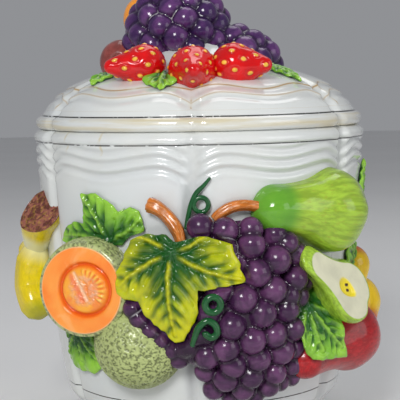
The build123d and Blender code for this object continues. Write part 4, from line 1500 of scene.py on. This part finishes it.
class JAR_OT_whole_melon(bpy.types.Operator):
    """Build the whole netted melon"""
    bl_idname = "jar.whole_melon"
    bl_label = "Whole Melon"

    def execute(self, context):
        form, look = settings(context)
        piece, start = ball_start("melon", 288, 176)
        middle, radius = WHOLE_MELON
        smooth_end = 1 - 0.85 * smooth_step(start[:, 2] + 0.4 * start[:, 0], 0.15, 0.8)
        pit = rind_pits(start * 25, 0.85) * smooth_end
        points = start * (radius - 0.7 * pit + 0.25 * noise_at(start, 2.2))[:, None] + at(*middle)
        shape(piece, pressed_to_wall(points, tables_of(form)))
        note(piece, "pit", pit)
        f = Finish("Melon Rind Glaze", roughness=0.3, coat=0.25, coat_roughness=0.12)
        glaze = f.done(rind_glaze(f, look), f.uneven(0.22, 0.42, 90), f.cloud(300, 3), 0.0004, 0.4)
        finish_piece(piece, "jar", glaze, ["melon_whole"])
        return {"FINISHED"}


def half_melon_face(x, y, rho, front):
    """Level of the cut face, with its ring-shaped groove and seed mass, and the notes for its glaze."""
    oval_x, oval_y = (x - 2.1) / 13.8, (y - 0.3) / 13.2
    oval = np.hypot(oval_x, oval_y)
    around = np.arctan2(oval_y, oval_x)
    groove = bell(oval - 1.06, 0.09)
    mass = smooth_step(-oval, -1.02, -0.84)
    toothed = smooth_step(np.cos(around - 0.5), 0.25, 0.5) * bell(oval - 0.76, 0.17)
    teeth = toothed * (0.5 + 0.5 * np.cos(around * SEED_TEETH))
    wrinkle = np.zeros(len(x))
    inside = np.flatnonzero(front & (oval < 1))
    wrinkle[inside] = noise_at(np.stack([x, y, 0 * x], 1)[inside], 0.36, 3)
    slit = bell(nearest_stroke(x, y, MELON_SLIT)[0], 0.9)
    wedge = bell(nearest_stroke(x, y, MELON_WEDGE)[0], 1.9)
    dish = -0.5 * (HALF_MELON_RADIUS - np.hypot(x, y)) / HALF_MELON_RADIUS
    seeds = 1.5 * (1 - 0.45 * oval**2) + 0.75 * teeth + 0.65 * wrinkle * smooth_step(-oval, -0.8, -0.55)
    level = dish - 1.9 * groove + mass * (seeds - 0.7 * slit) - 0.9 * smooth_step(rho, 0.955, 1.0)
    notes = {
        "flesh": smooth_step(-rho, -0.985, -0.955),
        "lip": bell(rho - 0.962, 0.012),
        # the groove note carries painted shade in the ring-shaped groove
        "groove": groove,
        "mass": mass,
        "slit": slit * mass,
        "wedge": wedge * mass,
        "teeth": np.clip(teeth, 0, 1),
        # painted shade between the teeth
        "gap": np.clip(toothed - teeth, 0, 1),
        "pale": np.clip(0.5 + 0.9 * wrinkle, 0, 1) * smooth_step(-oval, -0.78, -0.5),
    }
    return level, {name: front * value for name, value in notes.items()}


def half_melon_rind(phi, share, pit):
    """Points of the rind, from the cut face's edge where share is 0 to its middle where share is 1."""
    first = math.acos(HALF_MELON_BACK / HALF_MELON_BALL)
    polar = first + share * (math.pi - first)
    skin = HALF_MELON_BALL - 0.6 * pit * smooth_step(share, 0, 0.1)
    lean = smooth_step(share, 0, 0.5)
    x = skin * np.sin(polar) * np.cos(phi) - 1.2 * lean
    y = skin * np.sin(polar) * np.sin(phi) + 1.4 * lean
    return np.stack([x, y, skin * np.cos(polar) - HALF_MELON_BACK - 0.9], 1)


def seed_mass_colour(f, look):
    """The seed mass: orange, with teeth and painted shade between them, a wrinkled pale middle, a salmon
    wedge and a slit.
    """
    seeds = f.mix(f.patches(120, 0.4, 0.62), look.mass, look.mass_deep)
    # painted shade between the teeth
    seeds = f.over(seeds, look.mass_gap_shade, f.kept("gap"), 0.8)
    seeds = f.mix(f.kept("teeth"), seeds, look.mass_tooth)
    seeds = f.over(seeds, look.mass_pale, f.kept("pale"), 0.75)
    seeds = f.over(seeds, look.mass_wedge, f.kept("wedge"), 0.7)
    return f.over(seeds, look.mass_slit, f.kept("slit"), 0.7)


def half_melon_glaze(look):
    """Orange flesh with painted shade in its groove, the seed mass, a cream lip, and netted rind behind."""
    f = Finish("Cut Melon Glaze", roughness=0.12, coat=0.4, coat_roughness=0.03)
    flesh = f.mix(f.patches(34, 0.38, 0.66, 3, 0.5), look.flesh, look.flesh_light)
    # painted shade in the ring-shaped groove
    flesh = f.over(flesh, look.flesh_groove_shade, f.kept("groove"), 0.9)
    flesh = f.over(flesh, look.flesh_dabs, f.patches(60, 0.56, 0.7, 3, 0.7), 0.45)
    flesh = f.over(flesh, look.flesh_lip, f.kept("lip"), 0.55)
    flesh = f.mix(f.kept("mass"), flesh, seed_mass_colour(f, look))
    rind = f.over(rind_glaze(f, look), look.rind_rim, f.patches(200, 0.3, 0.7, 2), 0.1)
    base = f.mix(f.kept("flesh"), rind, flesh)
    return f.done(base, f.uneven(0.08, 0.18, 60), f.cloud(160, 2), 0.0003, 0.25)


class JAR_OT_half_melon(bpy.types.Operator):
    """Build the half melon: orange face, ring-shaped groove, seed mass, and netted rind behind"""
    bl_idname = "jar.half_melon"
    bl_label = "Half Melon"

    def execute(self, context):
        form, look = settings(context)
        piece, start = ball_start("melon_cut", 320, 200)
        front, share = two_faces(start)
        rho = np.where(front, share, 1)
        phi = np.arctan2(start[:, 1], start[:, 0])
        x, y = HALF_MELON_RADIUS * rho * np.cos(phi), HALF_MELON_RADIUS * rho * np.sin(phi)
        level, notes = half_melon_face(x, y, rho, front)
        pit = rind_pits(start * HALF_MELON_RADIUS, 0.8)
        rind = half_melon_rind(phi, np.where(front, 0, 1 - share), pit)
        own = np.where(front[:, None], np.stack([x, y, level], 1), rind)
        turn, _ = facing(*HALF_MELON_TURN)
        shape(piece, pressed_to_wall(laid(own, (turn, at(*HALF_MELON_MIDDLE))), tables_of(form)))
        note(piece, "own", own / 10)
        note(piece, "pit", pit)
        for name, values in notes.items():
            note(piece, name, values)
        finish_piece(piece, "jar", half_melon_glaze(look), ["melon_half"])
        return {"FINISHED"}


# -------------------- bananas
BANANAS = [  # node, three points along it, radius
    ("banana_front", (-75, 98, 113), (-79, 102.5, 92), (-73, 99, 69), 11.5),
    ("banana_middle", (-80, 98, 115), (-90, 101.8, 94), (-96, 99, 74), 11.6),
    ("banana_back", (-84, 97, 120), (-100, 101, 106), (-118, 96, 92), 11.0),
]
BANANA_TAPER = [  # share of the way, share of the radius
    (0, 0), (0.02, 0.42), (0.1, 0.62), (0.28, 0.94), (0.6, 1.02), (0.85, 0.9), (0.95, 0.7), (0.99, 0.4),
    (1, 0),
]
CROWN_TAIL = (-79, 101, 108)
CROWN_HEAD = (-60, 100, 144)
CROWN_CUT = 7.2  # from the crown's middle to its cut face


def banana_glaze(look):
    """Yellow skin, green at the tips, pale at the necks, and brown fibres where the stalk is cut."""
    f, base = streaked_glaze("Banana Glaze", look.banana, 1, 0.88, look.banana_green, (0.8, 4, 4), 0.35)
    base = f.mix(f.kept("pale"), base, look.banana_pale)
    scar = f.mix(f.patches(260, 0.4, 0.62, 4, 0.8), look.scar_dark, look.scar_light)
    base = f.mix(f.kept("scar"), base, scar)
    rough = f.math("ADD", f.uneven(0.1, 0.24, 80), f.times(f.kept("scar"), 0.3))
    return f.done(base, rough, f.cloud(180, 3), 0.0004, 0.35)


def banana(node, path, radius, glaze, tables):
    """One banana bent through three points, with five soft edges."""
    piece, start = ball_start(node + "_dressed", 96, 96)
    share, turn = along_ball(start)
    centre, ahead = bend_through(*(at(*point) for point in path))(share)
    thick = radius * np.interp(share, *np.array(BANANA_TAPER).T) * (1 + 0.045 * np.cos(5 * turn))
    shape(piece, pressed_to_wall(tube(centre, ahead, turn, thick), tables))
    note(piece, "own", np.stack([share * 6, np.cos(turn), np.sin(turn)], 1))
    note(piece, "blush", smooth_step(share, 0.78, 0.98) * 0.7)
    note(piece, "pale", 0.8 * smooth_step(-share, -0.3, -0.05))
    note(piece, "scar", np.zeros(len(share)))
    finish_piece(piece, "jar", glaze, [node])


def banana_stalk(glaze, tables):
    """The cut stalk that the bananas hang from, with a rough flat face."""
    tail, head = at(*CROWN_TAIL), at(*CROWN_HEAD)
    piece, own, points = turned_fruit(
        "banana_stalk", tail, head, egg_line, (8.2, 13.5), tables,
        segments=192, rings=144, lumps=0.5, ridges=4, ridge_depth=0.03)
    face = unit(np.array([-0.45, -0.72, 0.52]))
    level = (points - (tail + head) / 2) @ face
    over = smooth_step(level, CROWN_CUT - 0.8, CROWN_CUT + 0.2)
    rough = noise_at(own, 0.55, 3)
    points += (0.4 * rough * over - np.maximum(level - CROWN_CUT, 0))[:, None] * face
    shape(piece, points)
    note(piece, "blush", np.zeros(len(points)))
    note(piece, "pale", smooth_step(-own[:, 0], 2, 12))
    note(piece, "scar", np.clip(over + 0.3 * over * rough, 0, 1))
    finish_piece(piece, "jar", glaze, ["banana_crown"])


class JAR_OT_bananas(bpy.types.Operator):
    """Build the bananas and the cut stalk that they hang from"""
    bl_idname = "jar.bananas"
    bl_label = "Bananas"

    def execute(self, context):
        form, look = settings(context)
        tables = tables_of(form)
        glaze = banana_glaze(look)
        for node, first, middle, last, radius in BANANAS:
            banana(node, (first, middle, last), radius, glaze, tables)
        banana_stalk(glaze, tables)
        return {"FINISHED"}


# -------------------- stalks and tendrils
STALKS = [  # node, points along it, radius at each share of the way
    ("stem_left",
     [(-13.6, 100, 142), (-10.4, 101, 140), (-6.8, 101.5, 134.6), (-4.2, 103, 128), (-2.8, 105, 120)],
     [(0, 4.4), (0.1, 4.1), (0.3, 3.6), (0.7, 3.7), (1, 2.6)]),
    ("stem_right",
     [(6.6, 99, 133), (8.6, 99.5, 136.4), (12.2, 100, 139.8), (16.4, 101, 140.8), (22.5, 101, 139)],
     [(0, 2.6), (0.3, 3.1), (1, 2.9)]),
]
TENDRILS = [  # node, points of its tail, its ring's place, radius, two end angles, thick and thin radius
    ("tendril_upper",
     [(6, 98.6, 156), (3.8, 98, 151.5), (1.4, 97.6, 147.5), (-0.1, 97.6, 142.2), (-0.9, 97.8, 137.4),
      (-1.5, 98.2, 132), (-1.8, 99, 128)],
     (2.9, 98, 141.3), 3.9, -90, 290, 1.35, 0.8),
    ("tendril_lower",
     [(-0.4, 111.5, 67), (0.4, 111.5, 72), (1.6, 111.5, 77.6), (3.9, 111.5, 81), (6, 111.5, 78.8),
      (6.6, 111.5, 74.8), (5.2, 111.5, 72), (3.6, 111.5, 73.6), (3.4, 111.5, 75.6)],
     (5.5, 113.5, 90), 4.1, -60, 320, 1.9, 1.2),
]


def rope(name, path, thickness, segments=20, ridge=0.0, ridges=6):
    """A tapered round form along a smooth path; thickness gives its radius at each share of the way."""
    line = curve_through(path, 10)
    steps = np.linalg.norm(np.diff(line, axis=0), axis=1)
    run = np.concatenate([[0], np.cumsum(steps)]) / steps.sum()
    piece, start = ball_start(name, segments, len(line) + 8)
    share, turn = along_ball(start)

    def pick(t):
        return np.stack([np.interp(t, run, line[:, k]) for k in range(3)], 1)
    ahead = unit(pick(np.clip(share + 0.01, 0, 1)) - pick(np.clip(share - 0.01, 0, 1)))
    thick = np.interp(share, *np.array(thickness).T) * (1 + ridge * np.cos(ridges * turn))
    ends = np.clip(np.minimum(share, 1 - share) / 0.02, 0, 1) ** 0.4
    points = tube(pick(share), ahead, turn, thick * ends)
    shape(piece, points)
    note(piece, "own", np.stack([share * steps.sum() / 10, np.cos(turn), np.sin(turn)], 1))
    return piece, share, points


class JAR_OT_stalks(bpy.types.Operator):
    """Build the two cut stalks above the bunch"""
    bl_idname = "jar.stalks"
    bl_label = "Stalks"

    def execute(self, context):
        form, look = settings(context)
        f, base = streaked_glaze("Stalk Glaze", look.bark, 1.15, 0.72, look.bark_pale, (0.8, 1.2, 1.2), 0.6)
        glaze = f.done(base, f.uneven(0.14, 0.3, 90), f.cloud(200, 3), 0.0004, 0.4)
        for node, path, thickness in STALKS:
            piece, share, points = rope(node + "_dressed", [at(*p) for p in path], thickness, 40, 0.07, 5)
            shape(piece, pressed_to_wall(points, tables_of(form)))
            note(piece, "blush", 0.8 * smooth_step(-share, -0.06, -0.01))
            finish_piece(piece, "jar", glaze, [node])
        return {"FINISHED"}


def ring_path(where, radius, first, last, count=24):
    """Points of a ring's arc in a place's own plane, angles clockwise from up."""
    turn = np.radians(np.linspace(first, last, count))
    return list(flat_in(where, radius * np.sin(turn), radius * np.cos(turn)))


class JAR_OT_tendrils(bpy.types.Operator):
    """Build the two curling tendrils"""
    bl_idname = "jar.tendrils"
    bl_label = "Tendrils"

    def execute(self, context):
        look = context.scene.jar_look
        f, base = streaked_glaze("Tendril Glaze", look.tendril, 1.6, 1, look.tendril_pale, (1, 2, 2), 0.5)
        glaze = f.done(base, f.uneven(0.1, 0.22, 120), f.cloud(200, 2), 0.0002, 0.3)
        for node, tail, where, radius, first, last, thick, thin in TENDRILS:
            ring = ring_path(facing(*where), radius, first, last)
            parts = [
                rope(node + "_tail", [at(*p) for p in tail], [(0, thin), (0.3, thick), (1, thick)])[0],
                rope(node + "_ring", ring, [(0, thick), (1, thick)])[0],
            ]
            for part in parts:
                note(part, "blush", np.zeros(len(part.data.vertices)))
            finish_piece(joined(node + "_dressed", parts), "jar", glaze, [node])
        return {"FINISHED"}


# -------------------- round fruit and strawberries on the lid
STRAWBERRIES = [  # node, tip, shoulder, tip radius, shoulder radius
    ("strawberry_left", (-35.5, 77.5, 204.5), (-20, 57, 227.5), 4.2, 12.4),
    ("strawberry_centre", (1.2, 85, 200.5), (-1, 56, 225.5), 4.4, 13.8),
    ("strawberry_right", (32, 77, 204.5), (14, 59, 226), 4.4, 12.8),
]
SEED_GAP = 7.6
SEED_LENGTH = 1.35  # of a seed's width
APPLE = (-46.5, 4, 219.5), 13.5  # middle in X, Y and Z, and radius
ORANGE = (-31, 24, 246), 16


def strawberry_glaze(look):
    """Red glaze, with painted shade in the dip round each yellow seed."""
    red = look.strawberry
    f = Finish("Strawberry Glaze", roughness=0.14, coat=0.35, coat_roughness=0.08)
    base = f.mix(f.patches(70, 0.35, 0.7), red, shade_of(red, 1.35))
    # painted shade in the dip round each seed
    base = f.over(base, shade_of(red, 0.6), f.kept("around"), 0.2)
    seed = f.mix(f.patches(300, 0.4, 0.6, 2), look.seed, shade_of(look.seed, 0.8))
    base = f.mix(f.kept("seed"), base, seed)
    return f.done(base, f.uneven(0.06, 0.16, 90), f.cloud(140, 2), 0.0003, 0.3)


def seed_places(own, half):
    """Seeds in a spiral from the tip to the shoulder, evenly apart on the skin."""
    seeds, along = [], 2.5 - half
    while along < half - 1:
        radius = np.hypot(*own[np.abs(own[:, 0] - along).argmin(), 1:])
        turn = GOLDEN_ANGLE * len(seeds)
        seeds.append(np.array([along, radius * math.cos(turn), radius * math.sin(turn)]))
        along += SEED_GAP**2 / (2 * math.pi * max(radius, 3))
    return seeds


def from_seeds(own, seeds):
    """Distance from each point to the nearest seed, less along the fruit than across it."""
    off = np.full(len(own), 1e9)
    for seed in seeds:
        gap = (own - seed) / (SEED_LENGTH, 1, 1)
        off = np.minimum(off, np.linalg.norm(gap, axis=1))
    return off


class JAR_OT_strawberries(bpy.types.Operator):
    """Build the three strawberries with raised seeds"""
    bl_idname = "jar.strawberries"
    bl_label = "Strawberries"

    def execute(self, context):
        form, look = settings(context)
        tables = tables_of(form)
        glaze = strawberry_glaze(look)
        for node, tip_at, shoulder_at, small, large in STRAWBERRIES:
            tip, shoulder = at(*tip_at), at(*shoulder_at)
            piece, own, points = turned_fruit(
                node + "_dressed", tip, shoulder, egg_line, (small, large), tables,
                segments=192, rings=136, lumps=0.5, dome=True)
            half = float(np.linalg.norm(shoulder - tip)) / 2
            off = from_seeds(own, seed_places(own, half))
            turn, _ = place((0, 0, 0), shoulder - tip, (0, 0, 1))
            outwards = unit(own * (0.35, 1, 1)) @ turn.T
            lift = 0.55 * bell(off, 1.0) - 0.35 * bell(off - 1.9, 0.6)
            shape(piece, pressed_to_dome(points + outwards * lift[:, None], tables))
            note(piece, "seed", smooth_step(-off, -1.35, -0.95))
            # painted shade: the ring round each seed where the skin dips
            note(piece, "around", bell(off - 1.9, 0.7))
            finish_piece(piece, "lid", glaze, [node])
        return {"FINISHED"}


def apple(look, tables):
    """The apple, with its dark eye in a dimple."""
    piece, start = ball_start("apple", 128, 88)
    toward = start @ unit(np.array([-0.15, -0.93, 0.1]))
    dimple = 1 - 0.16 * bell(np.arccos(np.clip(toward, -1, 1)), 0.22)
    middle, radius = APPLE
    points = start * (radius * dimple + 0.2 * noise_at(start, 1.7))[:, None] + middle
    shape(piece, pressed_to_dome(points, tables))
    note(piece, "own", start)
    note(piece, "blush", smooth_step(toward, 0.972, 0.988) * 0.9)
    f, base = streaked_glaze("Rose Glaze", look.apple, 1.2, 0.85, look.apple_eye, (2, 2, 2), 0.12)
    glaze = f.done(base, f.uneven(0.2, 0.36, 70), f.cloud(140, 2), 0.0003, 0.3)
    finish_piece(piece, "lid", glaze, ["lid_apple"])


def orange(look, tables):
    """The orange, with a pitted peel."""
    piece, start = ball_start("orange", 160, 104)
    middle, radius = ORANGE
    points = start * (radius - 0.3 * bell(nearest_cell(start, 9.0), 0.25))[:, None] + middle
    shape(piece, pressed_to_dome(points, tables))
    f = Finish("Orange Glaze", roughness=0.16)
    base = f.mix(f.patches(60, 0.35, 0.7), look.citrus, shade_of(look.citrus, 1.3))
    glaze = f.done(base, f.uneven(0.12, 0.24, 90), f.cloud(420, 3), 0.0003, 0.5)
    finish_piece(piece, "lid", glaze, ["lid_orange"])


class JAR_OT_lid_round_fruit(bpy.types.Operator):
    """Build the apple and the orange behind the lid's grapes"""
    bl_idname = "jar.lid_round_fruit"
    bl_label = "Apple and Orange"

    def execute(self, context):
        form, look = settings(context)
        apple(look, tables_of(form))
        orange(look, tables_of(form))
        return {"FINISHED"}


# -------------------- stage
STAGE_MIDDLE = (0, 0, 0.13)  # in metres, what the lamps are aimed at
LAMPS = [  # name, place, size, which power
    ("Key Lamp", (-0.22, -1.15, 0.75), 0.35, "key"),
    ("Fill Lamp", (1.2, -0.7, 0.5), 0.8, "fill"),
    ("Top Lamp", (0.1, 0.5, 1.3), 0.8, "fill"),
]
FLOOR_RADIUS = 4
SENSOR_WIDTH = 36


def lamp(name, spot, size, strength):
    """A square soft lamp aimed at the jar."""
    deselect()
    bpy.ops.object.light_add(type="AREA", location=spot)
    light = bpy.context.object
    light.name = name
    light.data.shape = "SQUARE"
    light.data.size = size
    light.data.energy = strength
    light.rotation_euler = (Vector(STAGE_MIDDLE) - Vector(spot)).to_track_quat("-Z", "Y").to_euler()


def lay_floor(stage):
    """The round pale floor under the jar."""
    deselect()
    bpy.ops.mesh.primitive_circle_add(vertices=96, radius=FLOOR_RADIUS, fill_type="NGON", location=(0, 0, 0))
    floor = bpy.context.object
    floor.name = "floor"
    f = Finish("Floor Paper", roughness=0.6, coat=0.0)
    base = f.mix(f.patches(3, 0.3, 0.7, 2), stage.floor, shade_of(stage.floor, 0.97))
    floor.data.materials.append(f.done(base))


def light_evenly(stage):
    """A world of even light."""
    world = bpy.data.worlds.new("Even Light")
    bpy.context.scene.world = world
    world.use_nodes = True
    background = world.node_tree.nodes["Background"]
    background.inputs["Color"].default_value = (*stage.air, 1)
    background.inputs["Strength"].default_value = stage.world


def place_camera(stage):
    """The camera in front of the jar, turned about the jar, pitched down and rolled."""
    eye = at(math.degrees(stage.camera_turn), stage.camera_distance, stage.camera_height)
    bpy.ops.object.camera_add(location=eye)
    camera = bpy.context.object
    turn = Matrix.Rotation(stage.camera_turn, 4, "Z")
    turn = turn @ Matrix.Rotation(math.pi / 2 - stage.camera_pitch, 4, "X")
    turn = turn @ Matrix.Rotation(stage.camera_roll, 4, "Z")
    camera.matrix_world = Matrix.Translation(eye) @ turn
    camera.data.lens = stage.camera_lens
    camera.data.sensor_width = SENSOR_WIDTH
    bpy.context.scene.camera = camera


class JAR_OT_stage(bpy.types.Operator):
    """Set the pale floor, the soft lamps and the camera"""
    bl_idname = "jar.stage"
    bl_label = "Stage"

    def execute(self, context):
        stage = context.scene.jar_stage
        lay_floor(stage)
        for name, spot, size, power_name in LAMPS:
            lamp(name, spot, size, getattr(stage, power_name))
        light_evenly(stage)
        place_camera(stage)
        context.scene.view_settings.view_transform = "Standard"
        return {"FINISHED"}


# -------------------- the add-on
OPERATORS = (
    JAR_OT_pot, JAR_OT_lid, JAR_OT_seal, JAR_OT_vine_leaf, JAR_OT_wall_leaves, JAR_OT_front_grapes,
    JAR_OT_half_melon, JAR_OT_whole_melon, JAR_OT_pears, JAR_OT_cut_pear, JAR_OT_peaches, JAR_OT_bananas,
    JAR_OT_stalks, JAR_OT_tendrils, JAR_OT_lid_grapes, JAR_OT_strawberries, JAR_OT_lid_round_fruit,
    JAR_OT_lid_leaves, JAR_OT_stage,
)


class JAR_PT_panel(bpy.types.Panel):
    """The jar's pieces, in the order that they are built"""
    bl_idname = "JAR_PT_panel"
    bl_label = "Biscuit Jar"
    bl_space_type = "VIEW_3D"
    bl_region_type = "UI"
    bl_category = "Biscuit Jar"

    def draw(self, context):
        column = self.layout.column()
        for operator in OPERATORS:
            column.operator(operator.bl_idname)
        for group in (context.scene.jar_form, context.scene.jar_look, context.scene.jar_stage):
            for name in group.bl_rna.properties.keys():
                if name not in ("rna_type", "name"):
                    column.prop(group, name)


CLASSES = (JarForm, JarLook, JarStage, *OPERATORS, JAR_PT_panel)


def register():
    for kind in CLASSES:
        bpy.utils.register_class(kind)
    bpy.types.Scene.jar_form = bpy.props.PointerProperty(type=JarForm)
    bpy.types.Scene.jar_look = bpy.props.PointerProperty(type=JarLook)
    bpy.types.Scene.jar_stage = bpy.props.PointerProperty(type=JarStage)


def unregister():
    del bpy.types.Scene.jar_stage
    del bpy.types.Scene.jar_look
    del bpy.types.Scene.jar_form
    for kind in reversed(CLASSES):
        bpy.utils.unregister_class(kind)


def main():
    """Registers the add-on and builds every piece."""
    register()
    for operator in OPERATORS:
        group, name = operator.bl_idname.split(".")
        getattr(getattr(bpy.ops, group), name)()
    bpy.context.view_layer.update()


if __name__ == "__main__":
    main()
